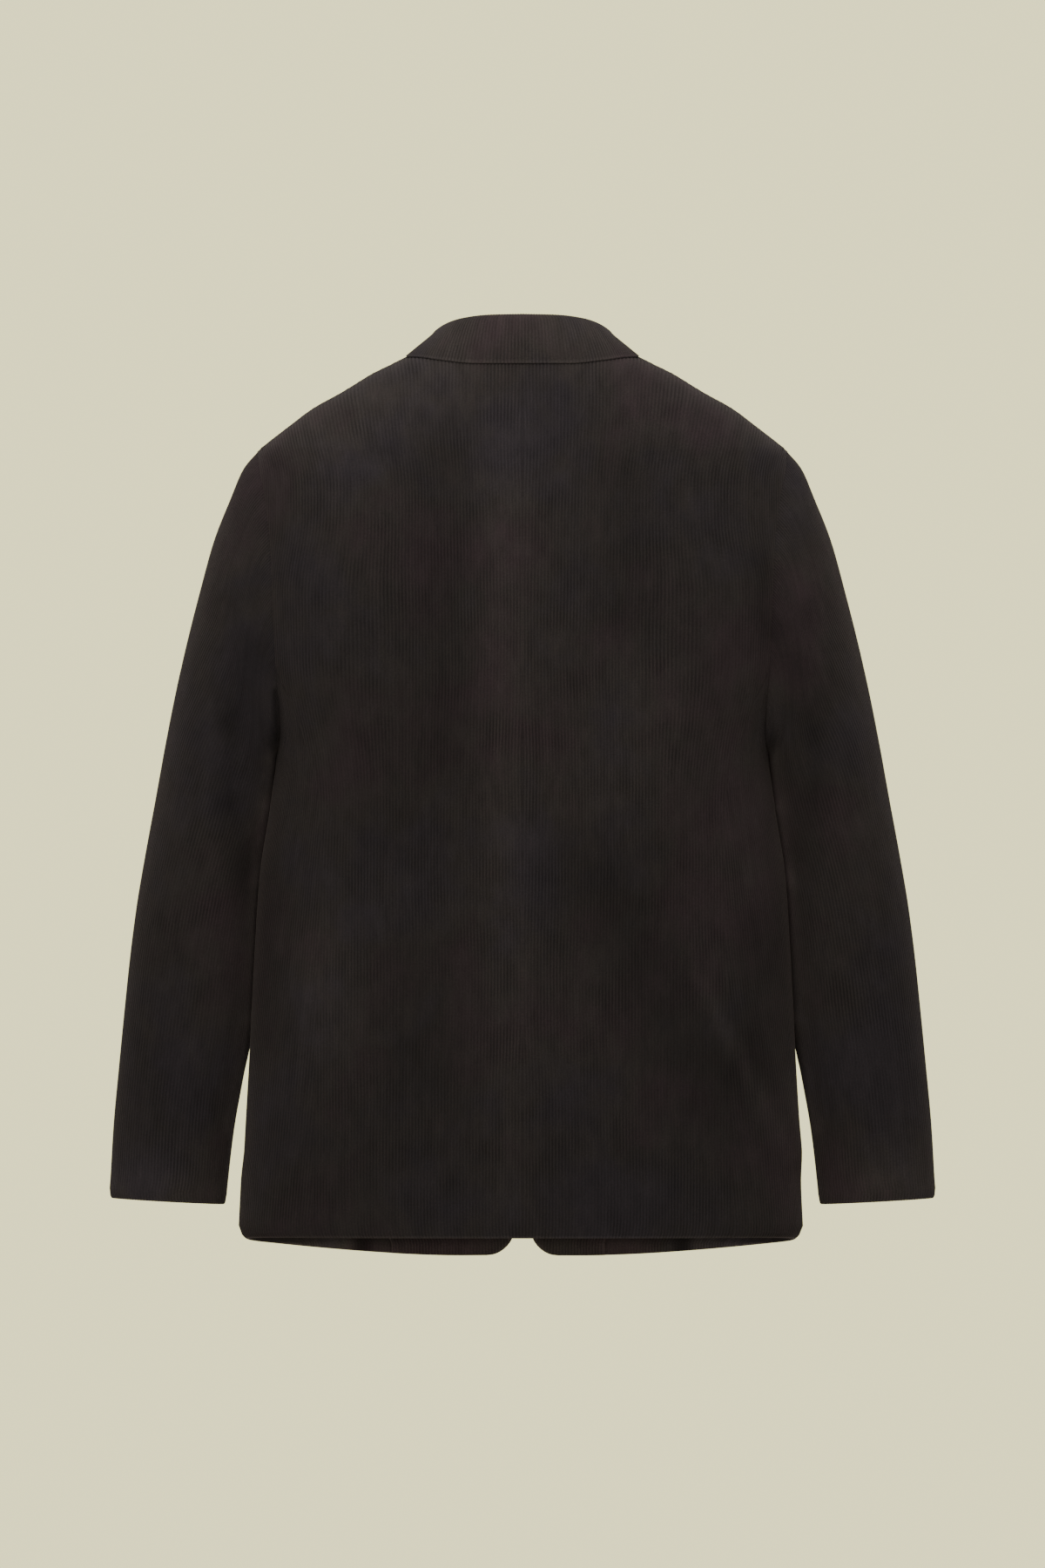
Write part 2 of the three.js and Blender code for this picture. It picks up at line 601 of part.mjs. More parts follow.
// Seats a button on the centre front, flat on the left front's cloth.
function seatButton(mesh, height) {
  const arc = ringAt(height).half;
  const normal = perpendicular(ringPoint, arc, height, 0.6, 0.6).negate();
  mesh.position.copy(ringPoint(arc, height).addScaledVector(normal, LIFT + BUTTON_GAP));
  mesh.quaternion.setFromUnitVectors(new THREE.Vector3(0, 1, 0), normal);
}

// ---- the jacket ----

const jacket = new THREE.Group();
jacket.position.z = -SEAT_HEIGHT;

function add(name, geometry, look) {
  const mesh = new THREE.Mesh(geometry, new THREE.MeshStandardMaterial(look));
  mesh.name = name;
  jacket.add(mesh);
  return mesh;
}

for (const [name, side] of Object.entries({ left: 1, right: -1 })) {
  add("back_" + name, backPiece(side), CLOTH);
  add("side_" + name, sidePiece(side), CLOTH);
  add("front_" + name, frontPiece(side), CLOTH);
  add("facing_" + name, facingPiece(side), CLOTH_SHADE);
  add("lapel_" + name, lapelPiece(side), CLOTH);
  const sleeve = sleevePieces(side);
  add("top_sleeve_" + name, sleeve.top, CLOTH);
  add("under_sleeve_" + name, sleeve.under, CLOTH_SHADE);
}
add("collar", collarPiece(), CLOTH);
seatButton(add("button_upper", buttonGeometry(), HORN), BUTTON.upper);
seatButton(add("button_lower", buttonGeometry(), HORN), BUTTON.lower);

export default jacket;
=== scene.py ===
"""A single-breasted corduroy jacket, worn and hollow, seen from behind.

Lengths are in millimetres above the back hem until a piece is made, when they become metres in the
shared frame, whose origin is the seat on the shoulders. Each cut piece is a thin shell of ribbed
cloth woven over the form of its solid, with its ribs running the way that its grain does.
"""

import bpy
import numpy as np
from mathutils import Matrix, Vector


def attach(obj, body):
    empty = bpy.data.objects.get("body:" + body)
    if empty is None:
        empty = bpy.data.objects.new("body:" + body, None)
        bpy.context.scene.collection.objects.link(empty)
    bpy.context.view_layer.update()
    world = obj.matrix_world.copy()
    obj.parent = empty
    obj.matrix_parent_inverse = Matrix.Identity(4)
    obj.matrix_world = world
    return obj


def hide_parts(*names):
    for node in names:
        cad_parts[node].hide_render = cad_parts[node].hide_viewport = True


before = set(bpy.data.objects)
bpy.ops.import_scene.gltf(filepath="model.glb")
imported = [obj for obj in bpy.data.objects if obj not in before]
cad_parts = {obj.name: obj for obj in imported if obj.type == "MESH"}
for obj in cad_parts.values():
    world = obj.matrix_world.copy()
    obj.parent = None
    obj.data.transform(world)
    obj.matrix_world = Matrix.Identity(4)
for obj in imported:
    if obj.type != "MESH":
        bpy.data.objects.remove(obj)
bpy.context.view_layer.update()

# ---- sizes shared with the solids ----

MILLIMETRE = 0.001
SEAT_HEIGHT = 720
WALL = 2.2
SEAM_LAP = 0.12  # neighbours overlap this far at the bottom of their seam
LAID_GAP = 0.6  # between a front and its facing
ARMHOLE = {"middle": 530.5, "half_height": 123.5, "depth": 55, "power": 2.4}
TURN_STEP = np.pi / 15
BACK_SEAM_TURN = 9 * TURN_STEP
FRONT_SEAM_TURN = 12 * TURN_STEP
NECK_BACK = 735
NECK_SIDE = 741
GORGE = 700  # top of the fronts' edges
BREAK = 325  # height at which the lapels start to turn over
FRONT_DROP = 18  # the front hem hangs this far below the back one
CORNER = 24  # radius of the fronts' lower corners
LIFT = 4.9  # the left front lies this far out over the right one
LAP = {"flat": 20, "fade": 60, "above": 40, "over": 110}
SEAM_BEND = 40
HEM_DROP = {"starts": 0.36, "over": 0.56, "until": 300}


def table(text):
    """A line of names and rows of numbers, as one array for each name."""
    names, *rows = text.strip().splitlines()
    return dict(zip(names.split(), np.array([row.split() for row in rows], float).T))


BODY = table("""
    height width back front power
    -30 237 102 106 2.35
    0 235.5 101 105 2.35
    80 231.5 97 103 2.35
    155 227.3 94 101 2.3
    230 223.5 93 101 2.3
    300 219 97 106 2.3
    360 210 107 118 2.3
    407 205.2 114 126 2.3
    440 212 117 128 2.3
    470 220 118 127 2.3
    520 226 117 123 2.3
    560 228.5 114 117 2.3
    600 229 109 108 2.3
    630 227.5 103 98 2.3
    654 221 98 89 2.3
    661 213 96.5 86 2.3
    675 195 93 80 2.3
    690 175 89 73 2.3
    704 150 85 67 2.3
    719 125.5 80.5 60 2.3
    726.5 110.5 78.5 57 2.3
    733 97.5 76.5 54 2.3
    741 84 74 51 2.3
    755 68 70 46 2.3
""")
BACK_SEAM = table("""
    height across
    -30 178
    0 176
    150 172
    300 168
    360 169
    410 181
    450 194
    484 208
""")
FRONT_SEAM = table("""
    height across
    -30 196
    0 195
    150 189
    300 182
    390 188
    427 200
""")
FRONT_EDGE = table("""
    height arc
    -30 5.5
    20 3.5
    90 -7
    200 -17
    325 -18
    420 6
    540 32
    640 53
    700 66
""")
HEM_CURL = {"from": 9, "in": 0.019}  # height from which the hem turns in, and its share at the back hem
FACING = {1: 112, -1: 68, "top": 313, "inset": 1, "wall": 1.4}  # widths by side, 1 for the left
LAPEL = table("""
    height width
    325 8
    400 38
    500 62
    600 80
    646 88
""")
LAPEL_TIP = 646
LAPEL_START = {1: BREAK + 10, -1: BREAK + 47}
LAPEL_GAP = 0.9
SLEEVE = table("""
    ring out_x out_z in_x in_z depth shift power
    0 221 654 204 407 55 0 2.4
    1 232.5 640 206.5 403 57 0 2.35
    2 244 613 207.5 400 59 0 2.3
    3 257 580 207.5 396 61 -2 2.25
    4 269 537 207.3 390 63 -7 2.2
    5 280 494 207.9 382 64.5 -14 2.2
    6 290 450 208.7 372 65 -21 2.2
    7 298.5 407 210 358 64.5 -26 2.15
    8 306.5 363 213.7 332 62.5 -29 2.15
    9 314.5 320 217.7 298 60 -31 2.15
    10 322 276 219.9 260 57.5 -32 2.15
    11 327.7 232 221.9 219 55 -32 2.15
    12 332.3 188 224.3 178 52.5 -32 2.1
    13 337.2 138 233.5 131 50 -32 2.1
    14 341.5 91 241.4 86 47 -32 2.1
    15 344 48 246.4 43 44 -32.5 2.1
    15.7 344.8 36.5 247.6 31.5 43.4 -33 2.1
    16 343 31 249 26 42.4 -33 2.1
""")
CAP_RINGS = 3
SLEEVE_SEAMS = table("""
    ring back front
    0 72 -108
    3 90 -117
    7 102 -124
    10 109 -128
    13 128 -132
    16 146 -134
""")
COLLAR = table("""
    step along fold_x fold_y fold_z crown edge_x edge_z
    0 0 0 69 767.6 1.5 0 726
    1 0.24 28 65.5 766.9 1.5 38 726
    2 0.46 49.5 52 764.4 1.2 67 728.5
    3 0.72 65.5 31 759 0.6 86 731.2
    4 1 74 4 752.4 0.3 96 732
    5 1.28 75.5 -19 746 0.8 96.5 723.5
    6 1.64 73.5 -43 731 2 98 702
    7 2 65 -62.5 711 4 99 679
""")
COLLAR_WALL = 1.6
COLLAR_LIFT = 0.25  # the collar's edge lies this far off the back
COLLAR_STAND = {"inset": 2.9, "rise": 0.6}  # its sewn edge, from the neck's edge
COLLAR_FOLD = {"drop": 3.2, "inside": 0.6, "outside": 5.1}

# Soft folds of the body: arc from the centre back and height at both ends, half width, how far it
# stands out, and its side, +1 for the left. The first seven are in the solids too.
FOLDS = table("""
    side arc_low low arc_high high width depth
    -1 262 60 138 250 20 2.4
    -1 105 90 120 300 34 -2.6
    -1 128 330 150 560 14 1.6
    -1 88 320 84 540 13 -1.4
    1 150 40 122 290 20 1.8
    1 96 80 92 330 28 -1.8
    1 140 340 162 570 15 1.4
    1 262 -40 262 60 45 1.6
    -1 262 -40 262 60 45 -1.6
""")

# Tone strokes between two places on the jacket, seen from behind, with their half width and tone. Some are
# the cloth's own mottling, where the dye has worn or the pile lies darker; others are painted light and
# shade: a painted highlight on the collar and shoulders, painted shade on the body's sides, down the lower
# back and in the crease at the armpit, and painted light where the sleeves' inner edges and the cloth behind
# the hems lie in shade. They lie on all the cloth (0), the body (1), the sleeves (2) or the turned-in cloth
# behind the hems (3).
WEAR_AND_PAINTED_LIGHT = table("""
    on x_low low x_high high width tone
    0 -60 756 60 756 30 0.62
    0 70 715 170 672 34 0.3
    0 -70 715 -170 672 34 0.1
    3 -120 -13 120 -13 9 2.2
    0 206 454 204 414 3 -0.6
    0 12 30 12 330 22 0.16
    0 14 330 14 690 24 0.22
    0 66 400 66 640 26 -0.16
    0 -88 520 -88 630 30 -0.18
    0 -60 380 -110 430 50 0.16
    0 109 340 120 500 60 -0.1
    0 -150 380 -150 640 30 -0.08
    0 160 620 175 650 40 0.12
    0 -70 290 -160 130 44 -0.28
    0 -197 250 -197 150 24 -0.3
    0 160 170 170 240 30 0.2
    0 85 150 85 220 45 -0.2
    0 -200 50 200 50 120 -0.2
    1 -222 70 -148 213 8 0.3
    0 215 300 212 180 26 -0.22
    2 224 295 224 305 16 -0.3
    2 224 491 243 431 12 -0.2
    2 243 431 245 363 12 -0.2
    2 245 363 228 300 12 -0.2
    0 -197 566 -203 506 11 -0.3
    0 -203 506 -236 460 13 -0.12
    2 -240 440 -245 380 12 -0.22
    2 -243 370 -228 303 12 -0.2
""")
# The same, for strokes that both halves of the jacket have: lighter cuffs, painted shade on the body's sides,
# a painted highlight on the sleeves' tops, and painted light on the shaded cloth behind the hems and along
# the sleeves' shaded inner edges.
WEAR_AND_PAINTED_LIGHT_BOTH_SIDES = table("""
    on x_low low x_high high width tone
    2 320 35 270 35 42 0.42
    3 150 -11 225 -9 10 3.4
    1 206 395 231 150 14 -0.36
    2 252 600 240 560 30 0.16
    2 310 240 330 110 45 -0.12
    2 207 398 210 358 8 1.3
    2 210 358 218 298 8 1.3
    2 218 298 224 180 8 1.3
    2 224 180 240 90 8 1.3
""")
CLOTH_TONES = {"grey_brown": "#2c2728", "olive_brown": "#2d2825", "red_brown": "#2f2626"}

# ---- how the cloth is made ----

WALE = 2.7  # from the middle of one rib to the next
RIB_STEPS = 4  # columns of corners to a rib
RIB_PROFILE = np.array([-0.3, 0.1, 0.22, 0.1])  # height of each column, groove first
ROW = 8.0  # rows of corners along the ribs
RING_STEP = 40.0  # about how far one ring of the sleeve is from the next
EDGE_ROUND = 1.6  # a folded edge turns in over this distance
SEAM_DIP = 0.55  # a sewn edge sinks this far into its seam
SEAM_WIDTH = 2.0  # over this distance from it
ARMHOLE_DIP = 0.6
SHOULDER_DIP = 0.25
SLEEVE_DIP = 0.2
FOLD_DIP = 0.45  # a folded edge thins the cloth by this share of its wall
EDGE_HIGHLIGHT = 1.0  # painted highlight: a folded edge is this much lighter, where the pile turns over it and catches the light
TURN_UP = 38.0  # the cloth turned up inside a hem, before the lining starts
FOLD = None  # an edge turned in, with no seam


# ---- small mathematics ----


def mix(a, b, share):
    """A value on the way from a to b."""
    return a + (b - a) * share


def ease(share):
    """0 to 1 with a soft start and a soft end."""
    t = np.clip(share, 0, 1)
    return t * t * (3 - 2 * t)


def curve(rows, column, at):
    """A smooth curve through one column of a table over its first, with no overshoot."""
    x, y = next(iter(rows.values())), rows[column]
    steps = np.diff(x)
    rises = np.diff(y) / steps
    product = rises[:-1] * rises[1:]
    total = rises[:-1] + rises[1:]
    inner = np.where(product > 0, 2 * product / np.where(total == 0, 1, total), 0)
    slope = np.concatenate([rises[:1], inner, rises[-1:]])
    i = np.clip(np.searchsorted(x, at) - 1, 0, len(steps) - 1)
    t = np.clip((at - x[i]) / steps[i], 0, 1)
    low = y[i] * (1 + 2 * t) * (1 - t) ** 2 + slope[i] * steps[i] * t * (1 - t) ** 2
    high = y[i + 1] * t * t * (3 - 2 * t) + slope[i + 1] * steps[i] * t * t * (t - 1)
    return low + high


def rounded(value, power):
    """A sine or cosine bent to the shape of a superellipse."""
    return np.sign(value) * np.abs(value) ** (2 / power)


def matched(*values):
    """Numbers or arrays as arrays of one shape."""
    return np.broadcast_arrays(*(np.asarray(value, float) for value in values))


def unit(vectors):
    return vectors / np.maximum(np.linalg.norm(vectors, axis=-1, keepdims=True), 1e-9)


def perpendicular(point_at, a, b, step_a, step_b):
    """The direction square to a surface, felt by small steps on it."""
    along_a = point_at(a + step_a, b) - point_at(a - step_a, b)
    along_b = point_at(a, b + step_b) - point_at(a, b - step_b)
    return unit(np.cross(along_a, along_b))


# ---- the body's rings ----

TURNS = np.linspace(0, np.pi, 721)
RING_LOW = -45.0
RING_HEIGHTS = np.arange(RING_LOW, 772.0)
RING_PLACES = 1440
FEEL = 0.6  # step by which the body's slope is felt


def make_rings():
    """Half rings from centre back to centre front: running lengths, and points at even shares."""
    width, back, front, power = (
        curve(BODY, column, RING_HEIGHTS)[:, None] for column in ("width", "back", "front", "power")
    )
    across = width * rounded(np.sin(TURNS), power)
    deep = np.where(TURNS < np.pi / 2, back, front) * rounded(np.cos(TURNS), power)
    across[:, -1] = 0
    steps = np.hypot(np.diff(across), np.diff(deep))
    lengths = np.concatenate([np.zeros((len(RING_HEIGHTS), 1)), np.cumsum(steps, axis=1)], axis=1)
    shares = np.linspace(0, 1, RING_PLACES + 1)
    rings = zip(lengths, across, deep)
    even = [[np.interp(shares * run[-1], run, line) for line in (x, y)] for run, x, y in rings]
    return lengths, np.array(even).transpose(0, 2, 1)


RING_LENGTHS, RING_POINTS = make_rings()


def between(grid, row, column):
    """A value of a grid at a fractional row and column."""
    i = np.clip(np.floor(row).astype(int), 0, grid.shape[0] - 2)
    k = np.clip(np.floor(column).astype(int), 0, grid.shape[1] - 2)
    f, g = row - i, column - k
    if grid.ndim == 3:
        f, g = f[..., None], g[..., None]
    low = grid[i, k] * (1 - g) + grid[i, k + 1] * g
    high = grid[i + 1, k] * (1 - g) + grid[i + 1, k + 1] * g
    return low * (1 - f) + high * f


def half_ring(height):
    """How long the body's surface is at a height, from centre back to centre front."""
    return np.interp(height, RING_HEIGHTS, RING_LENGTHS[:, -1])


def ring_point(arc, height):
    """The point of the body's surface that lies arc from the centre back."""
    arc, height = matched(arc, height)
    half = half_ring(height)
    beyond = arc > half
    mirror = np.where((arc < 0) | beyond, -1.0, 1.0)
    along = np.clip(np.where(beyond, 2 * half - arc, np.abs(arc)), 0, half)
    flat = between(RING_POINTS, height - RING_LOW, along / half * RING_PLACES)
    return np.stack([mirror * flat[..., 0], flat[..., 1], height], axis=-1)


def arc_at_turn(height, turn):
    height, turn = matched(height, turn)
    return between(RING_LENGTHS, height - RING_LOW, turn / np.pi * (len(TURNS) - 1))


def arc_at_depth(height, y):
    depth = curve(BODY, "back", height)
    depth = np.where(y > 0, depth, curve(BODY, "front", height))
    power = curve(BODY, "power", height)
    return arc_at_turn(height, np.arccos(np.sign(y) * np.minimum(1, np.abs(y) / depth) ** (power / 2)))


def arc_at_width(height, x, side):
    share = np.minimum(1, x / curve(BODY, "width", height))
    turn = np.arcsin(share ** (curve(BODY, "power", height) / 2))
    return arc_at_turn(height, np.where(side > 0, turn, np.pi - turn))


def folds(side, arc, height):
    """How far the soft folds stand out there."""
    total = 0
    for row in zip(*FOLDS.values()):
        fold = dict(zip(FOLDS, row))
        if fold["side"] != side:
            continue
        share = (height - fold["low"]) / (fold["high"] - fold["low"])
        off = (arc - mix(fold["arc_low"], fold["arc_high"], share)) / fold["width"]
        fade = ease(share * 3.5 + 0.5) * ease((1 - share) * 3.5 + 0.5)
        total = total + fold["depth"] * fade * np.exp(-off * off)
    return total


def cloth_point(side, arc, height, out):
    """A point of the body's cloth on one side, moved out from it."""
    normal = -perpendicular(ring_point, arc, height, FEEL, FEEL)
    distance = np.asarray(out + folds(side, arc, height))
    point = ring_point(arc, height) + normal * distance[..., None]
    low = np.clip(1 - point[..., 2] / HEM_CURL["from"], 0, 1.7)
    point[..., 0] *= side * (1 - HEM_CURL["in"] * low**2)
    return point


# ---- armhole, seams and hem ----

SHOULDER = ARMHOLE["middle"] + ARMHOLE["half_height"]


def armhole_place(turn):
    """Arc and height of a point of the armhole's edge, a turn from its top towards the back."""
    y = ARMHOLE["depth"] * rounded(np.sin(turn), ARMHOLE["power"])
    height = ARMHOLE["middle"] + ARMHOLE["half_height"] * rounded(np.cos(turn), ARMHOLE["power"])
    return arc_at_depth(height, y), height


def armhole_turn(height):
    share = np.clip((height - ARMHOLE["middle"]) / ARMHOLE["half_height"], -1, 1)
    return np.arccos(np.sign(share) * np.abs(share) ** (ARMHOLE["power"] / 2))


BACK_TOP_ARC, BACK_TOP = armhole_place(np.array(BACK_SEAM_TURN))
FRONT_TOP_ARC, FRONT_TOP = armhole_place(np.array(-FRONT_SEAM_TURN))


def outer_edge(height, seam, top_arc, top, half):
    """The outer edge of a back (half 1) or front (-1): side seam, then armhole, then shoulder seam."""
    low = arc_at_width(height, curve(seam, "across", height), half)
    low = mix(low, top_arc, ease((height - top) / SEAM_BEND + 1))
    hole = armhole_place(half * armhole_turn(height))[0]
    shoulder = arc_at_turn(height, np.pi / 2)
    return np.where(height <= top, low, np.where(height < SHOULDER, hole, shoulder))


def back_edge(height):
    return outer_edge(height, BACK_SEAM, BACK_TOP_ARC, BACK_TOP, 1)


def front_side_edge(height):
    return outer_edge(height, FRONT_SEAM, FRONT_TOP_ARC, FRONT_TOP, -1)


def hem_drop(arc, level):
    """How far the cloth hangs lower towards the front."""
    share = (arc / half_ring(0) - HEM_DROP["starts"]) / HEM_DROP["over"]
    return -FRONT_DROP * ease(share) * np.maximum(0, 1 - level / HEM_DROP["until"]) ** 1.5


# ---- weaving a piece ----


def placed(name, data):
    """A new object in the scene."""
    thing = bpy.data.objects.new(name, data)
    bpy.context.scene.collection.objects.link(thing)
    return thing


def shell(name, outer, inner, ids, inner_ids, marks, edge_wear, lined):
    """A closed piece of cloth from its two layers, each a grid of corners with their numbers.
    lined tells which corners have lining on the inner layer's faces."""
    rows, columns = ids.shape
    count = rows * columns
    behind = inner_ids + count
    quads = [
        np.stack([ids[:-1, :-1], ids[:-1, 1:], ids[1:, 1:], ids[1:, :-1]], -1).reshape(-1, 4),
        np.stack([behind[:-1, :-1], behind[1:, :-1], behind[1:, 1:], behind[:-1, 1:]], -1).reshape(-1, 4),
        np.stack([ids[:-1, 0], ids[1:, 0], behind[1:, 0], behind[:-1, 0]], -1),
        np.stack([ids[:-1, -1], behind[:-1, -1], behind[1:, -1], ids[1:, -1]], -1),
    ]
    faces = [list(dict.fromkeys(quad)) for quad in np.concatenate(quads).tolist()]
    for row, turned in ((0, True), (rows - 1, False)):
        for k in range(behind.shape[1] - 1):
            side = ids[row, k * RIB_STEPS : (k + 1) * RIB_STEPS + 1].tolist()
            face = list(dict.fromkeys(side + [behind[row, k + 1], behind[row, k]]))
            faces.append(face[::-1] if turned else face)
    faces = [face for face in faces if len(face) > 2]
    corners = np.concatenate([outer.reshape(-1, 3), inner.reshape(-1, 3)])
    used = np.unique(np.concatenate([np.array(face) for face in faces]))
    fresh = np.full(len(corners), -1)
    fresh[used] = np.arange(len(used))
    faces = [[int(fresh[i]) for i in face] for face in faces]
    points = (corners[used] - [0, 0, SEAT_HEIGHT]) * MILLIMETRE
    if signed_volume(points, faces) < 0:
        faces = [face[::-1] for face in faces]
    mesh = bpy.data.meshes.new(name)
    mesh.from_pydata(points.tolist(), [], faces)
    at_back = used >= count
    x, _, height = corners[used].T
    on = [True, "sleeve" not in name, "sleeve" in name, at_back | ("facing" in name)]
    # The tone: a painted highlight along folded edges, with the strokes of worn, mottled tone and of painted
    # light and shade.
    tone = 1 + edge_wear[used] + strokes(WEAR_AND_PAINTED_LIGHT, x, height, on) + strokes(WEAR_AND_PAINTED_LIGHT_BOTH_SIDES, abs(x), height, on)
    layer = mesh.attributes.new("weave", "FLOAT_VECTOR", "POINT")
    layer.data.foreach_set("vector", marks[used].astype(np.float32).ravel())
    layer = mesh.attributes.new("wear", "FLOAT", "POINT")
    layer.data.foreach_set("value", tone.astype(np.float32))
    set_faces(mesh, faces, at_back.tolist(), lined[used].tolist())
    return placed(name, mesh)


def set_faces(mesh, faces, at_back, lined):
    """The rim between the two layers is flat with sharp bounds, and the lining has its own slot."""
    rim = [len({at_back[i] for i in face}) == 2 for face in faces]
    thin = [face for face, is_rim in zip(faces, rim) if is_rim]
    bounds = {frozenset(pair) for face in thin for pair in zip(face, face[1:] + face[:1])}
    ends = np.empty(2 * len(mesh.edges), int)
    mesh.edges.foreach_get("vertices", ends)
    sharp = [frozenset(pair) in bounds for pair in ends.reshape(-1, 2).tolist()]
    covered = [all(lined[i] for i in face) for face in faces]
    mesh.edges.foreach_set("use_edge_sharp", sharp)
    mesh.polygons.foreach_set("use_smooth", ~np.array(rim))
    mesh.polygons.foreach_set("material_index", np.array(covered, np.int32))


def strokes(rows, x, height, on):
    """The tone of a table's soft strokes, added up at places given across and up the jacket. on
    tells for each kind of stroke which places it lies on."""
    total = 0 * x
    for row in zip(*rows.values()):
        stroke = dict(zip(rows, row))
        run = np.array([stroke["x_high"] - stroke["x_low"], stroke["high"] - stroke["low"]])
        along = ((x - stroke["x_low"]) * run[0] + (height - stroke["low"]) * run[1]) / (run @ run)
        along = np.clip(along, 0, 1)
        off = np.hypot(x - stroke["x_low"] - along * run[0], height - stroke["low"] - along * run[1])
        total = total + stroke["tone"] * np.exp(-((off / stroke["width"]) ** 2)) * on[int(stroke["on"])]
    return total


def signed_volume(points, faces):
    """Six times the volume that the faces close, positive when they point out."""
    triangles = np.array([(f[0], f[i], f[i + 1]) for f in faces for i in range(1, len(f) - 1)])
    a, b, c = points[triangles].transpose(1, 0, 2)
    return float(np.sum(a * np.cross(b, c)))


def numbered(across):
    """Corner numbers of a grid in which each row's places past an edge share that edge's corner."""
    rows, columns = across.shape
    k = np.arange(columns)
    first = np.maximum(np.sum(across <= 0, axis=1) - 1, 0)
    last = np.minimum(columns - np.sum(across >= 1, axis=1), columns - 1)
    return np.arange(rows)[:, None] * columns + np.clip(k, first[:, None], last[:, None])


def weave(
    name, rows, ribs, edges, place, ends=(FOLD, SEAM_DIP), sides=(SEAM_DIP,) * 2, wall=WALL, step=1, bend=None
):
    """One cut piece. rows are its levels, about step mm to one, and ribs its first and last rib's
    number. edges(row) tells where its two sides cut the ribs, in mm from the grain's axis, and
    place(share of the way between them, row, out) is a point of the cloth. bend(w, row) moves a rib
    line sideways. ends and sides say how the edges are finished: FOLD when turned, or how far a sewn
    one sinks into its seam."""
    lines = np.arange(ribs[0] * RIB_STEPS, ribs[1] * RIB_STEPS + 1)[None, :] * (WALE / RIB_STEPS)
    row = np.asarray(rows, float)[:, None]
    first, second = edges(row)
    wide = second - first
    strayed = lines + waver(lines, row * step)
    raw = ((bend(strayed, row) if bend else strayed) - first) / wide
    across = np.clip(raw, 0, 1)
    middle = place(np.full_like(row, 0.5), row, 0.0)[:, 0]
    down = np.concatenate([[0], np.cumsum(np.linalg.norm(np.diff(middle, axis=0), axis=1))])[:, None]
    sink = np.zeros_like(across)
    calm = np.ones_like(across)
    pale = np.zeros_like(across)
    for distance, finish in (
        (across * wide, sides[0]),
        ((1 - across) * wide, sides[1]),
        (down, ends[0]),
        (down[-1] - down, ends[1]),
    ):
        if finish is FOLD:
            near = np.clip(1 - distance / EDGE_ROUND, 0, 1)
            sink = np.maximum(sink, wall * FOLD_DIP * (1 - np.sqrt(1 - near**2)))
            # A painted highlight along a folded edge.
            pale = np.maximum(pale, EDGE_HIGHLIGHT * np.clip(1.3 - distance / EDGE_ROUND, 0, 1))
        else:
            near = np.clip(1 - distance / SEAM_WIDTH, 0, 1)
            sink = np.maximum(sink, finish * near**1.5)
            calm = np.minimum(calm, 1 - near)
    rib = RIB_PROFILE[np.arange(lines.size) % RIB_STEPS]
    outer = place(across, row, rib * calm - sink)
    every = np.arange(0, lines.size, RIB_STEPS)
    straight = lines[:, every]  # the inner layer's lines don't stray
    plain = ((bend(straight, row) if bend else straight) - first) / wide
    thinned = FOLD_DIP * np.clip(1 - np.minimum(down, down[-1] - down) / EDGE_ROUND, 0, 1) * (ends[0] is FOLD)
    inner = place(np.clip(plain, 0, 1), row, wall * (thinned - 1))
    along = (lines - (raw - across) * wide) / WALE
    marks = np.stack(np.broadcast_arrays(along, down, 0.0), -1)
    both = np.concatenate([marks.reshape(-1, 3), marks[:, every].reshape(-1, 3)])
    from_hem = down if ends[0] is FOLD else down[-1] - down
    lined = np.concatenate([np.zeros(across.size, bool), np.repeat(from_hem > TURN_UP, every.size)])
    edge_wear = np.concatenate([pale.ravel(), pale[:, every].ravel()])
    return shell(name, outer, inner, numbered(raw), numbered(plain), both, edge_wear, lined)


def waver(w, along):
    """How far the ribs stray sideways, w mm across and some way along them: a slow wave and a quick one."""
    slow = 0.9 * np.sin(along / 47 + 0.6 * np.sin(w / 60)) * np.sin(w / 73 + 1.3)
    return slow + 0.35 * np.sin(along / 17 + w / 29) * np.sin(w / 21 + along / 90)


def edged(low, high, step=ROW, first=True, last=True):
    """Even rows, with close ones where an end is turned in."""
    close = np.array([0, 0.25, 0.7, 1.3, 2.2])
    even = np.linspace(low + 4, high - 4, max(2, int(round((high - low - 8) / step)) + 1))
    start = low + close if first else np.array([low])
    end = high - close[::-1] if last else np.array([high])
    return np.concatenate([start, even, end])


def panel_rows(low, first=True):
    """Rows of a back or front, close together over the shoulder, where the ribs run into its seam."""
    over = edged(SHOULDER, NECK_SIDE, 2.2, first=False)
    return np.concatenate([edged(low, SHOULDER - 4, first=first, last=False), over])


# ---- backs, side panels and fronts ----


def outer_dip(rows, top):
    """How deep the outer edge of a back or front sinks: most at the armhole, little at its top."""
    row = rows[:, None]
    armhole = ARMHOLE_DIP * (1 - ease((row - SHOULDER + 70) / 60))
    return np.where(row > top, np.maximum(armhole, SHOULDER_DIP), SEAM_DIP)


def back_place(across, row):
    """Arc and height of a place on a back, whose rows sink towards the lower neck at its middle."""
    rise = (row - BACK_TOP) / (NECK_SIDE - BACK_TOP)
    middle = np.where(rise > 0, mix(BACK_TOP, NECK_BACK, rise), row)
    arc = mix(-SEAM_LAP, back_edge(row) + SEAM_LAP, across)
    return arc, mix(middle, row, across * across)


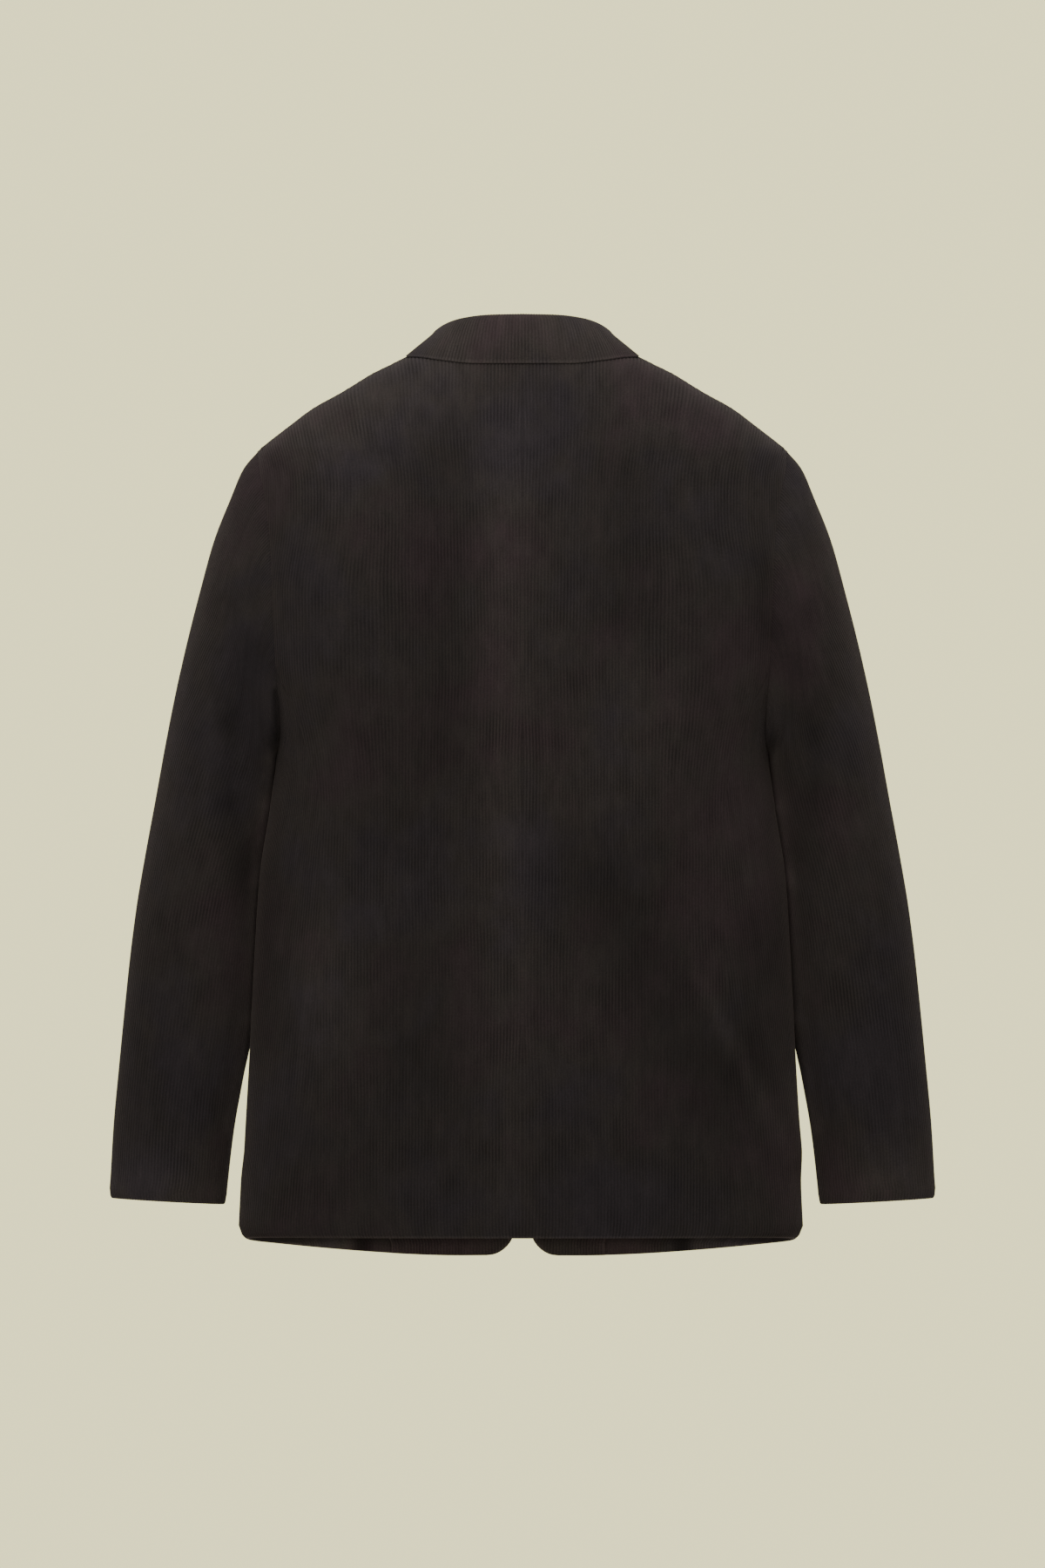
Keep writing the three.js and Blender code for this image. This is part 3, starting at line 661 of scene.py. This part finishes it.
def weave_back(name, side):
    def edges(row):
        return 0, back_edge(row)

    def bend(w, row):  # the outer ribs spread a little to the armpit, then all stand upright
        outer = ease((w - 90) / 100)
        drawn_out = w + 18 * ease((row - 350) / 130) * outer - 10 * ease((row - 530) / 70) * outer
        straight = ring_point(np.minimum(w + 8 * outer, 320), 610.0)[..., 0]
        lean = 16 * ease((row - 610) / 110) * (w / 200)
        high = arc_at_width(row, np.clip(straight + lean, 0, 400), 1)
        return mix(drawn_out, high, ease((row - 610) / 50))

    def place(across, row, out):
        arc, height = back_place(across, row)
        return cloth_point(side, arc, height, out)

    rows = panel_rows(0)
    sides = SEAM_DIP, outer_dip(rows, BACK_TOP)
    return weave(name, rows, (-2, 100), edges, place, sides=sides, bend=bend)


def weave_side(name, side):
    axis = float(back_edge(0.0) + front_side_edge(0.0)) / 2

    def edges(rise):  # the ribs lean to the back as they rise
        lean = 42 * rise - axis
        return back_edge(BACK_TOP * rise) + lean, front_side_edge(FRONT_TOP * rise) + lean

    def place(across, rise, out):
        back, front = back_edge(BACK_TOP * rise), front_side_edge(FRONT_TOP * rise)
        top_arc, top = armhole_place(mix(BACK_SEAM_TURN, 2 * np.pi - FRONT_SEAM_TURN, across))
        bend = top_arc - mix(BACK_TOP_ARC, FRONT_TOP_ARC, across)
        arc = mix(back - SEAM_LAP, front + SEAM_LAP, across) + bend * rise**3
        level = top * rise
        return cloth_point(side, arc, level + hem_drop(arc, level) - 0.6 * rise, out)

    rows = edged(0, 430) / 430
    return weave(name, rows, (-50, 50), edges, place, step=RING_STEP)


def front_edge(level):
    left = np.clip(level / CORNER, 0, 1)
    corner = CORNER - np.sqrt(CORNER**2 - (CORNER * (1 - left)) ** 2)
    return curve(FRONT_EDGE, "arc", level) + corner


def front_middle(row):
    """The level of a front's row at its front edge, which ends lower than the shoulder."""
    rise = (row - FRONT_TOP) / (NECK_SIDE - FRONT_TOP)
    return np.where(rise > 0, mix(FRONT_TOP, GORGE, rise), row)


def front_outer(row):
    return half_ring(row) - front_side_edge(row) + SEAM_LAP


def front_place(across, row):
    middle = front_middle(row)
    level = mix(middle, row, across)
    arc = half_ring(level) - mix(front_edge(middle), front_outer(row), across)
    return arc, level + hem_drop(arc, level)


def lap(side, arc, height):
    """How far the left front lies over the right one."""
    if side < 0:
        return 0 * arc
    up = (BREAK + LAP["above"] + LAP["over"] - height) / LAP["over"]
    return LIFT * ease(1 - (half_ring(height) - arc - LAP["flat"]) / LAP["fade"]) * ease(up)


CORNER_ROWS = np.array([0, 0.4, 1.2, 2.6, 4.6, 7.2, 10.4, 14.2, 18.8])


def weave_front(name, side):
    def edges(row):
        return front_edge(front_middle(row)), front_outer(row)

    def place(across, row, out):
        arc, height = front_place(across, row)
        return cloth_point(side, arc, height, lap(side, arc, height) + out)

    rows = np.concatenate([CORNER_ROWS, panel_rows(CORNER, first=False)])
    return weave(name, rows, (-8, 110), edges, place, sides=(FOLD, outer_dip(rows, FRONT_TOP)))


def weave_facing(name, side):
    def edges(row):
        return front_edge(row) + FACING["inset"], front_edge(CORNER) + FACING[side]

    def place(across, row, out):
        arc = half_ring(row) - mix(*edges(row), across)
        height = row + hem_drop(arc, row)
        depth = lap(side, arc, height) - WALL - LAID_GAP - FACING["wall"] - out
        return cloth_point(side, arc, height, depth)

    rows = np.concatenate([CORNER_ROWS, edged(CORNER, FACING["top"], first=False)])
    return weave(name, rows, (-8, 60), edges, place, (FOLD, FOLD), (FOLD, FOLD), FACING["wall"])


def weave_lapel(name, side):
    start = LAPEL_START[side]

    def inner_and_outer(row):
        middle = mix(start, GORGE - 3, (row - start) / (LAPEL_TIP - start))
        roll = curve(FRONT_EDGE, "arc", middle) + 1
        inner = roll if side > 0 else np.abs(roll) + 2
        outer = curve(FRONT_EDGE, "arc", row) + curve(LAPEL, "width", row)
        return middle, inner, np.maximum(outer, inner + 3)

    def edges(row):
        _, inner, outer = inner_and_outer(row)
        return inner - outer, 0

    def place(across, row, out):
        middle, inner, outer = inner_and_outer(row)
        height = mix(middle, row, across)
        arc = half_ring(height) - mix(inner, outer, across)
        lifted = lap(side, arc, height) + WALL + LAPEL_GAP + out
        return cloth_point(side, arc, height, lifted)

    rows = edged(start, LAPEL_TIP)
    return weave(name, rows, (-36, 2), edges, place, (FOLD, FOLD), (FOLD, FOLD))


# ---- sleeves ----

# How far the ribs run to one side by each ring of the sleeve.
DRIFT = table("""
    ring along
    -1 0
    0 0
    3 -6
    5 12
    7 36
    10 54
    13 64
    16 70
    17 71
""")
SLEEVE_TURNS = np.arange(-180, 361)
TUCK = {"under": 0.5, "inwards": 20.0}  # mm below the armhole's edge, and mm further in for each ring
PRESS = {"all": 1.8, "armpit": 1.6}  # the sleeve is pressed this far against the body's side


def sleeve_ring(turn, ring):
    """A point of the sleeve's own tube, before it is led to the armhole."""
    row = {column: curve(SLEEVE, column, ring) for column in SLEEVE}
    along = 0.5 + rounded(np.cos(turn), row["power"]) / 2
    return np.stack(
        [
            mix(row["in_x"], row["out_x"], along),
            row["shift"] + row["depth"] * rounded(np.sin(turn), row["power"]),
            mix(row["in_z"], row["out_z"], along),
        ],
        -1,
    )


def sleeve_point(turn, ring):
    """A point of the sleeve, whose first ring is the armhole; before it, it lies under the body."""
    turn, ring = np.broadcast_arrays(turn, ring)
    fade = np.maximum(0, 1 - np.maximum(0, ring) / CAP_RINGS) ** 2
    seam = cloth_point(1, *armhole_place(turn), -TUCK["under"]) - sleeve_ring(turn, 0 * ring)
    tail = np.maximum(0, -ring)[..., None] * [TUCK["inwards"], 0, 0]
    return sleeve_ring(turn, ring) + seam * fade[..., None] - tail


def weave_sleeve(name, side):
    """The top sleeve, from the front seam round the outside to the back seam, or the under one."""
    under = "under" in name

    def seam_turns(ring):
        back = curve(SLEEVE_SEAMS, "back", ring)
        front = curve(SLEEVE_SEAMS, "front", ring)
        return (back, front + 360) if under else (front, back)

    def lengths(ring):
        points = sleeve_point(np.radians(SLEEVE_TURNS)[None, :], np.maximum(ring, 0.05))
        run = np.cumsum(np.linalg.norm(np.diff(points, axis=1), axis=2), axis=1)
        run = np.concatenate([np.zeros((len(run), 1)), run], axis=1)
        return run - run[:, [180]]

    def seams(ring):
        runs = lengths(ring)
        ends = [
            np.array([[np.interp(turn, SLEEVE_TURNS, run)] for turn, run in zip(turns[:, 0], runs)])
            for turns in seam_turns(ring)
        ]
        return runs, *ends

    def edges(ring):
        _, low, high = seams(ring)
        drift = curve(DRIFT, "along", ring)
        return low + drift, high + drift

    def place(across, ring, out):
        runs, low, high = seams(ring)
        arc = mix(low - SEAM_LAP, high + SEAM_LAP, across)
        turn = np.radians(np.array([np.interp(a, run, SLEEVE_TURNS) for a, run in zip(arc, runs)]))
        along = np.maximum(ring, 0.05)
        normal = -perpendicular(sleeve_point, turn, along, 0.01, 0.04)
        pressed = PRESS["all"] + PRESS["armpit"] * ease(1 - ring / 3)
        pressed = pressed * ease(-np.cos(turn) * 2 - 0.7) * ease(ring / 0.6) * ease((11 - ring) / 3)
        point = sleeve_point(turn, np.where(ring < 0, ring, along)) + normal * (out + pressed)[..., None]
        point[..., 0] *= side
        return point

    close = 16 - np.array([2.4, 1.4, 0.75, 0.25, 0]) / 16
    rows = np.concatenate([[-0.1, 0, 0.06, 0.12], np.arange(0.3, 15.7, 0.22), close])
    ribs = (20, 190) if under else (-80, 95)
    return weave(name, rows, ribs, edges, place, (0.0, FOLD), (SLEEVE_DIP,) * 2, step=RING_STEP)


# ---- collar ----


def bent_line(points, share):
    """A smooth line through points, at each share of its way."""
    points = [2 * points[0] - points[1], *points, 2 * points[-1] - points[-2]]
    spans = len(points) - 3
    place = np.clip(share, 0, 1) * spans
    out = 0
    steps = [np.linalg.norm(a - b, axis=-1, keepdims=True) for a, b in zip(points, points[1:])]
    gaps = [np.maximum(step, 1e-6) ** 0.5 for step in steps]
    for i in range(spans):
        p0, p1, p2, p3 = points[i : i + 4]
        d0, d1, d2 = gaps[i : i + 3]
        t1 = d1 * ((p1 - p0) / d0 - (p2 - p0) / (d0 + d1) + (p2 - p1) / d1)
        t2 = d1 * ((p2 - p1) / d1 - (p3 - p1) / (d1 + d2) + (p3 - p2) / d2)
        t = (place - i)[..., None]
        inside = (t >= 0) & ((t < 1) | (i == spans - 1))
        line = p1 + t * t1 + t * t * (3 * (p2 - p1) - 2 * t1 - t2) + t**3 * (2 * (p1 - p2) + t1 + t2)
        out = np.where(inside, line, out)
    return out


def collar_point(step, share):
    """A point of the collar: its step round the neck, and its share of the way over the fold."""
    step, share = matched(step, share)
    row = {column: curve(COLLAR, column, np.abs(step)) for column in COLLAR}
    at_back = cloth_point(1, *back_place(np.minimum(row["along"], 1), NECK_SIDE), -WALL)
    at_front = cloth_point(1, *front_place(np.clip(2 - row["along"], 0, 1), NECK_SIDE), -WALL)
    seam = np.where((row["along"] < 1)[..., None], at_back, at_front)
    flat = np.array([1.0, 1.0, 0.0])
    seam = seam - unit(seam * flat) * COLLAR_STAND["inset"] + [0, 0, COLLAR_STAND["rise"]]
    fold = np.stack([row["fold_x"], row["fold_y"], row["fold_z"]], -1)
    arc = arc_at_width(row["edge_z"], row["edge_x"], np.where(np.abs(step) > 4, -1, 1))
    edge = cloth_point(1, arc, row["edge_z"], COLLAR_WALL + COLLAR_LIFT)
    outwards = unit((edge - seam) * flat)
    bend = fold - [0, 0, COLLAR_FOLD["drop"]]
    bend_in = bend - outwards * COLLAR_FOLD["inside"]
    bend_out = bend + outwards * COLLAR_FOLD["outside"]
    crown = row["crown"][..., None]
    fall = (bend_out + edge) / 2 + outwards * crown / 2 + crown * [0, 0, 1]
    point = bent_line([seam, bend_in, fold, bend_out, fall, edge], share)
    point[..., 0] *= np.where(step < 0, -1, 1)
    return point


def weave_collar(name):
    steps = np.linspace(-7, 7, 561)
    middle = collar_point(steps, 0.72 + 0 * steps)
    run = np.concatenate([[0], np.cumsum(np.linalg.norm(np.diff(middle, axis=0), axis=1))])
    long = float(run[-1])

    def edges(row):
        half = long / 2 + 0 * row
        return -half, half

    def place(across, row, out):
        step = np.interp(across * long, run, steps)
        step, row = np.broadcast_arrays(step, row)
        normal = perpendicular(collar_point, step, row, 0.02, 0.01)
        return collar_point(step, row) + normal * np.broadcast_to(out, step.shape)[..., None]

    rows = np.interp(np.arange(33), (0, 5, 19, 26, 28, 32), (0, 0.18, 0.62, 0.95, 0.985, 1))
    ribs = int(np.ceil(long / 2 / WALE)) + 1
    ends, sides = (SEAM_DIP, FOLD), (FOLD, FOLD)
    return weave(name, rows, (-ribs, ribs), edges, place, ends, sides, COLLAR_WALL, RING_STEP)


# ---- the cut pieces ----

MAKERS = {
    "back": weave_back,
    "side": weave_side,
    "front": weave_front,
    "facing": weave_facing,
    "lapel": weave_lapel,
    "top_sleeve": weave_sleeve,
    "under_sleeve": weave_sleeve,
}
PIECES = {}
for label, side in (("left", 1), ("right", -1)):
    for kind, make in MAKERS.items():
        PIECES[f"{kind}_{label}"] = make(f"cloth_{kind}_{label}", side)
PIECES["collar"] = weave_collar("cloth_collar")

# ---- buttons ----

BUTTON_GAP = 0.9  # thread between a button and the cloth
BUTTON = {"radius": 10.5, "thick": 3.6, "bevel": 0.55, "upper": 306, "lower": 198}
BUTTON_RINGS = ((1.6, 0), (0.5, -1.1), (3.4, 0.25), (0.3, 0))  # from its rim: width, and rise within it
BUTTON_FACE = BUTTON["thick"] + sum(rise for _, rise in BUTTON_RINGS)
HOLE = {"radius": 1.1, "from_middle": 1.9}
THREAD = {"radius": 0.45, "rise": 0.5}
BUTTONHOLE = {"from": -3.0, "to": 19.0, "half_width": 1.7, "cord": 0.55}


def in_place(piece, height):
    """Sets a piece that was shaped in millimetres round the origin where a button sits, facing out."""
    arc = np.array(half_ring(height))
    height = np.array(float(height))
    normal = -perpendicular(ring_point, arc, height, FEEL, FEEL)
    point = ring_point(arc, height) + normal * (LIFT + BUTTON_GAP)
    move = Vector(normal).to_track_quat("Z", "Y").to_matrix().to_4x4()
    move.translation = Vector((point - [0, 0, SEAT_HEIGHT]) * MILLIMETRE)
    piece.data.transform(Matrix.Scale(MILLIMETRE, 4))
    piece.data.transform(move)


def joined(parts):
    """Several new parts as one."""
    bpy.ops.object.select_all(action="DESELECT")
    for part in parts:
        part.select_set(True)
    bpy.context.view_layer.objects.active = parts[0]
    bpy.ops.object.join()
    bpy.ops.object.transform_apply()
    return parts[0]


def sewing_holes():
    """Four rods where the holes go."""
    rods = []
    for turn in np.radians([45, 135, 225, 315]):
        x, y = HOLE["from_middle"] * np.cos(turn), HOLE["from_middle"] * np.sin(turn)
        bpy.ops.mesh.primitive_cylinder_add(vertices=16, radius=HOLE["radius"], depth=12, location=(x, y, 2))
        rods.append(bpy.context.object)
    return joined(rods)


def make_button(name, height):
    """A horn button: a disc with a rounded rim, a turned dish and four holes."""
    bpy.ops.object.select_all(action="DESELECT")
    bpy.ops.mesh.primitive_cylinder_add(
        vertices=64, radius=BUTTON["radius"], depth=BUTTON["thick"], location=(0, 0, BUTTON["thick"] / 2)
    )
    button = bpy.context.object
    button.name = name
    bpy.ops.object.transform_apply()
    bpy.ops.object.mode_set(mode="EDIT")
    bpy.ops.mesh.select_mode(type="FACE")
    bpy.ops.mesh.select_all(action="DESELECT")
    bpy.ops.object.mode_set(mode="OBJECT")
    for face in button.data.polygons:
        face.select = face.normal.z > 0.9
    bpy.ops.object.mode_set(mode="EDIT")
    for width, rise in BUTTON_RINGS:
        bpy.ops.mesh.inset(thickness=width)
        bpy.ops.transform.translate(value=(0, 0, rise))
    bpy.ops.object.mode_set(mode="OBJECT")
    soft_edge = button.modifiers.new("rounded_rim", "BEVEL")
    soft_edge.width = BUTTON["bevel"]
    soft_edge.segments = 3
    soft_edge.angle_limit = np.radians(35)
    bpy.ops.object.modifier_apply(modifier=soft_edge.name)
    rods = sewing_holes()
    cut = button.modifiers.new("holes", "BOOLEAN")
    cut.operation = "DIFFERENCE"
    cut.object = rods
    bpy.ops.object.select_all(action="DESELECT")
    bpy.context.view_layer.objects.active = button
    button.select_set(True)
    bpy.ops.object.modifier_apply(modifier=cut.name)
    bpy.data.objects.remove(rods)
    bpy.ops.object.shade_smooth_by_angle(angle=np.radians(35))
    in_place(button, height)
    return button


def make_thread(name, height):
    """Two strands over a button's face, down through its holes and as a shank to the cloth."""
    bpy.ops.object.select_all(action="DESELECT")
    strands = []
    half = HOLE["from_middle"] * np.sin(np.pi / 4)
    top = BUTTON_FACE + THREAD["rise"]
    rod = {"vertices": 12, "radius": THREAD["radius"]}
    ball = {"segments": 12, "ring_count": 8, "radius": THREAD["radius"]}
    for y in (-half, half):
        bpy.ops.mesh.primitive_cylinder_add(
            depth=2 * half, location=(0, y, top), rotation=(0, np.pi / 2, 0), **rod
        )
        strands.append(bpy.context.object)
        for x in (-half, half):
            middle = (x, y, (top - BUTTON_GAP) / 2)
            bpy.ops.mesh.primitive_cylinder_add(depth=top + BUTTON_GAP, location=middle, **rod)
            strands.append(bpy.context.object)
            bpy.ops.mesh.primitive_uv_sphere_add(location=(x, y, top), **ball)
            strands.append(bpy.context.object)
    thread = joined(strands)
    thread.name = name
    bpy.ops.object.shade_smooth()
    in_place(thread, height)
    return thread


def make_buttonhole(name, height):
    """The worked edge of a buttonhole in the left front, from under its button towards the side."""
    bpy.ops.object.select_all(action="DESELECT")
    bpy.ops.mesh.primitive_torus_add(major_segments=72, minor_segments=8, major_radius=1.0, minor_radius=0.2)
    worked = bpy.context.object
    worked.name = name
    half_length = (BUTTONHOLE["to"] - BUTTONHOLE["from"]) / 2
    middle = (BUTTONHOLE["to"] + BUTTONHOLE["from"]) / 2
    spot = np.array([corner.co[:] for corner in worked.data.vertices])
    turn = np.arctan2(spot[:, 1], spot[:, 0])
    cord = (np.hypot(spot[:, 0], spot[:, 1]) - 1) * 5 * BUTTONHOLE["cord"]
    across = middle + rounded(np.cos(turn), 5.0) * half_length + cord * np.cos(turn)
    up = rounded(np.sin(turn), 1.6) * BUTTONHOLE["half_width"] + cord * np.sin(turn)
    out = BUTTONHOLE["cord"] * (0.7 + spot[:, 2] * 5 * (0.85 + 0.15 * np.sin(turn * 72)))
    arc = half_ring(height) - across
    points = cloth_point(1, arc, height + up, lap(1, arc, height + up) + out) - [0, 0, SEAT_HEIGHT]
    worked.data.vertices.foreach_set("co", (points * MILLIMETRE).astype(np.float32).ravel())
    worked.data.update()
    bpy.ops.object.shade_smooth()
    return worked


BUTTONS = {label: make_button("horn_button_" + label, BUTTON[label]) for label in ("upper", "lower")}
THREADS = [make_thread("button_thread_" + label, BUTTON[label]) for label in BUTTONS]
BUTTONHOLES = [make_buttonhole("buttonhole_" + label, BUTTON[label]) for label in BUTTONS]

# ---- materials ----


def linear(code):
    """An sRGB hex value as linear colour."""
    channels = [int(code[i : i + 2], 16) / 255 for i in (1, 3, 5)]
    return [c / 12.92 if c <= 0.04045 else ((c + 0.055) / 1.055) ** 2.4 for c in channels] + [1.0]


def node(tree, kind, links=None, **settings):
    """A shader node with its settings, its sockets given as values, other nodes or their outputs."""
    made = tree.nodes.new("ShaderNode" + kind)
    for key, value in settings.items():
        setattr(made, key, value)
    for socket, value in (links or {}).items():
        source = value.outputs[0] if isinstance(value, bpy.types.Node) else value
        if isinstance(source, bpy.types.NodeSocket):
            tree.links.new(source, made.inputs[socket])
        else:
            made.inputs[socket].default_value = source
    return made


def new_material(name):
    material = bpy.data.materials.new(name)
    material.use_nodes = True
    material.node_tree.nodes.clear()
    return material, material.node_tree


def set_stops(ramp, stops):
    """A colour ramp's places and their colours."""
    for i, (place, code) in enumerate(stops):
        stop = ramp.elements[i] if i < len(ramp.elements) else ramp.elements.new(1.0)
        stop.position = place
        stop.color = linear(code)


def corduroy():
    """Ribbed cotton velvet, garment washed: cut pile in ribs 2.7 mm apart, which drinks the light
    and gives it back at its edges, in patches of olive, red and grey brown where the dye has worn."""
    material, tree = new_material("corduroy_cut_pile")
    place = node(tree, "TexCoord").outputs["Object"]
    mark = node(tree, "Attribute", attribute_name="weave").outputs["Vector"]
    rib = node(tree, "SeparateXYZ", {0: mark})
    turn = node(tree, "Math", {0: rib, 1: 2 * np.pi}, operation="MULTIPLY")
    wave = node(tree, "Math", {0: turn}, operation="COSINE")
    crest = node(tree, "MapRange", {0: wave, 1: 1.0, 2: -1.0}, interpolation_type="SMOOTHSTEP")
    tones = []
    for where, stretch, detail, rough, low, high in (
        (place, (30.0, 30.0, 30.0), 3.0, 0.55, 0.58, 1.06),  # how dark the grooves are
        (mark, (0.33, 0.035, 1.0), 4.0, 0.6, 0.86, 1.14),  # streaks along the ribs
        (mark, (2.0, 0.7, 1.0), 2.0, 0.55, 0.82, 1.18),  # single tufts
    ):
        drawn = node(tree, "VectorMath", {0: where, 1: stretch}, operation="MULTIPLY")
        noise = node(tree, "TexNoise", {"Vector": drawn, "Scale": 1.0, "Detail": detail, "Roughness": rough})
        tones.append(node(tree, "MapRange", {0: noise, 1: 0.3, 2: 0.7, 3: low, 4: high}))
    # Painted shade: the grooves between the ribs darker than the ribs' crests, by a noisy amount.
    tones[0] = node(tree, "MapRange", {0: crest, 3: tones[0], 4: 1.06})
    # The tone carries the painted highlight on folded edges and the strokes of worn tone and of painted light
    # and shade.
    amount = node(tree, "Attribute", attribute_name="wear").outputs["Fac"]
    for tone in tones:
        amount = node(tree, "Math", {0: amount, 1: tone}, operation="MULTIPLY")
    clouds = node(tree, "TexNoise", {"Vector": place, "Scale": 8.0, "Detail": 4.0, "Roughness": 0.6})
    dye = node(tree, "ValToRGB", {0: clouds})
    set_stops(dye.color_ramp, zip((0.36, 0.5, 0.64), CLOTH_TONES.values()))
    colour = node(tree, "VectorMath", {0: dye, "Scale": amount}, operation="SCALE")
    pile = node(tree, "TexNoise", {"Vector": place, "Scale": 900.0, "Detail": 2.0, "Roughness": 0.55})
    bump = node(tree, "Bump", {"Strength": 0.35, "Distance": 0.0004, "Height": pile})
    velvet = {"Base Color": colour, "Roughness": 0.9, "Specular IOR Level": 0.1, "Normal": bump}
    velvet |= {"Sheen Weight": 0.25, "Sheen Roughness": 0.5, "Sheen Tint": linear("#b7a69b")}
    shader = node(tree, "BsdfPrincipled", velvet)
    node(tree, "OutputMaterial", {0: shader})
    return material


def lining():
    """Viscose twill lining: thin, smooth and faintly shiny, a dull red brown."""
    material, tree = new_material("viscose_twill_lining")
    shader = node(
        tree, "BsdfPrincipled", {"Base Color": linear("#3a2219"), "Roughness": 0.45, "Sheen Weight": 0.1}
    )
    node(tree, "OutputMaterial", {0: shader})
    return material


def horn():
    """Polished buffalo horn: dark brown with paler streaks, worn to a soft gloss."""
    material, tree = new_material("polished_horn")
    place = node(tree, "TexCoord").outputs["Object"]
    drawn = node(tree, "VectorMath", {0: place, 1: (90.0, 260.0, 900.0)}, operation="MULTIPLY")
    streaks = node(tree, "TexNoise", {"Vector": drawn, "Scale": 1.0, "Detail": 3.0})
    brown = node(tree, "ValToRGB", {0: streaks})
    set_stops(brown.color_ramp, ((0.35, "#1b130e"), (0.75, "#3d2b1f")))
    gloss = node(tree, "MapRange", {0: streaks, 3: 0.5, 4: 0.64})
    shader = node(tree, "BsdfPrincipled", {"Base Color": brown, "Roughness": gloss, "IOR": 1.55})
    node(tree, "OutputMaterial", {0: shader})
    return material


def sewing_thread():
    """Waxed polyester thread, dark brown, its twist 0.5 mm long."""
    material, tree = new_material("twisted_thread")
    place = node(tree, "TexCoord").outputs["Object"]
    waves = {"Vector": place, "Scale": 640.0, "Distortion": 1.0}
    twist = node(tree, "TexWave", waves, bands_direction="DIAGONAL").outputs["Fac"]
    browns = {0: twist, 6: linear("#1d1613"), 7: linear("#3b302a")}
    brown = node(tree, "Mix", browns, data_type="RGBA")
    bump = node(tree, "Bump", {"Strength": 0.6, "Distance": 0.0002, "Height": twist})
    shader = node(tree, "BsdfPrincipled", {"Base Color": brown.outputs[2], "Roughness": 0.6, "Normal": bump})
    node(tree, "OutputMaterial", {0: shader})
    return material


CORDUROY = corduroy()
LINING = lining()
HORN = horn()
SEWING_THREAD = sewing_thread()

# Each piece takes corduroy, and lining inside unless it is unlined, and hangs from the root in place of its
# solid, which is hidden; the buttons likewise, with their threads and buttonholes.
for node_name, piece in PIECES.items():
    unlined = node_name.startswith(("facing", "lapel", "collar"))
    piece.data.materials.append(CORDUROY)
    piece.data.materials.append(CORDUROY if unlined else LINING)
    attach(piece, "root")
    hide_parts(node_name)
for label, button in BUTTONS.items():
    button.data.materials.append(HORN)
    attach(button, "root")
    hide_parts("button_" + label)
for sewn in THREADS + BUTTONHOLES:
    sewn.data.materials.append(SEWING_THREAD)
    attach(sewn, "root")

# ---- floor, light and camera ----

# A pale matt floor well below the hem, which shows no reflection.
bpy.ops.object.select_all(action="DESELECT")
bpy.ops.mesh.primitive_circle_add(vertices=96, radius=2.1, fill_type="NGON", location=(0, 0, -1.3))
floor = bpy.context.object
floor.name = "pale_floor"
paint, paint_tree = new_material("matt_floor_paint")
matt = node(paint_tree, "BsdfPrincipled", {"Base Color": linear("#cfcab8"), "Roughness": 0.95})
node(paint_tree, "OutputMaterial", {0: matt})
floor.data.materials.append(paint)

# The jacket is lit by a soft cool grey, while the wall seen behind it is pale and warm.
world = bpy.data.worlds.new("studio")
bpy.context.scene.world = world
world.use_nodes = True
sky = world.node_tree
sky.nodes.clear()
soft_light = node(sky, "Background", {0: linear("#dde3ea"), 1: 0.43})
pale_wall = node(sky, "Background", {0: linear("#fff9bd"), 1: 1.6})
seen = node(sky, "LightPath").outputs["Is Camera Ray"]
either = node(sky, "MixShader", {0: seen, 1: soft_light, 2: pale_wall})
node(sky, "OutputWorld", {0: either})


def look(thing, aim):
    thing.rotation_euler = (Vector(aim) - Vector(thing.location)).to_track_quat("-Z", "Y").to_euler()


def softbox(name, place, aim, size, power):
    lamp = bpy.data.lights.new(name, "AREA")
    lamp.size = size
    lamp.energy = power
    light = placed(name, lamp)
    light.location = place
    look(light, aim)


# Overhead and back lights show the ribs from above; the low front one fills the open jacket.
softbox("top_light", (0, 0.8, 1.9), (0, 0, -0.2), 1.6, 16)
softbox("key_light", (0.2, 3.0, 2.6), (0, 0, -0.2), 1.8, 84)
softbox("back_light", (0, 4.5, -0.4), (0, 0, -0.35), 5.0, 38)
softbox("front_light", (-0.8, -5.0, -0.9), (0, 0, -0.35), 2.5, 90)

VIEW_HEIGHT = -0.343
VIEW_DISTANCE = 20.0
VIEW_SPAN = 1.30719  # how much of the jacket's plane the view takes in, top to bottom
lens = bpy.data.cameras.new("camera")
lens.sensor_width = 36
lens.lens = 36 * VIEW_DISTANCE / VIEW_SPAN
lens.clip_end = 50
camera = placed("camera", lens)
camera.location = (0, VIEW_DISTANCE, VIEW_HEIGHT)
look(camera, (0, 0, VIEW_HEIGHT))
bpy.context.scene.camera = camera
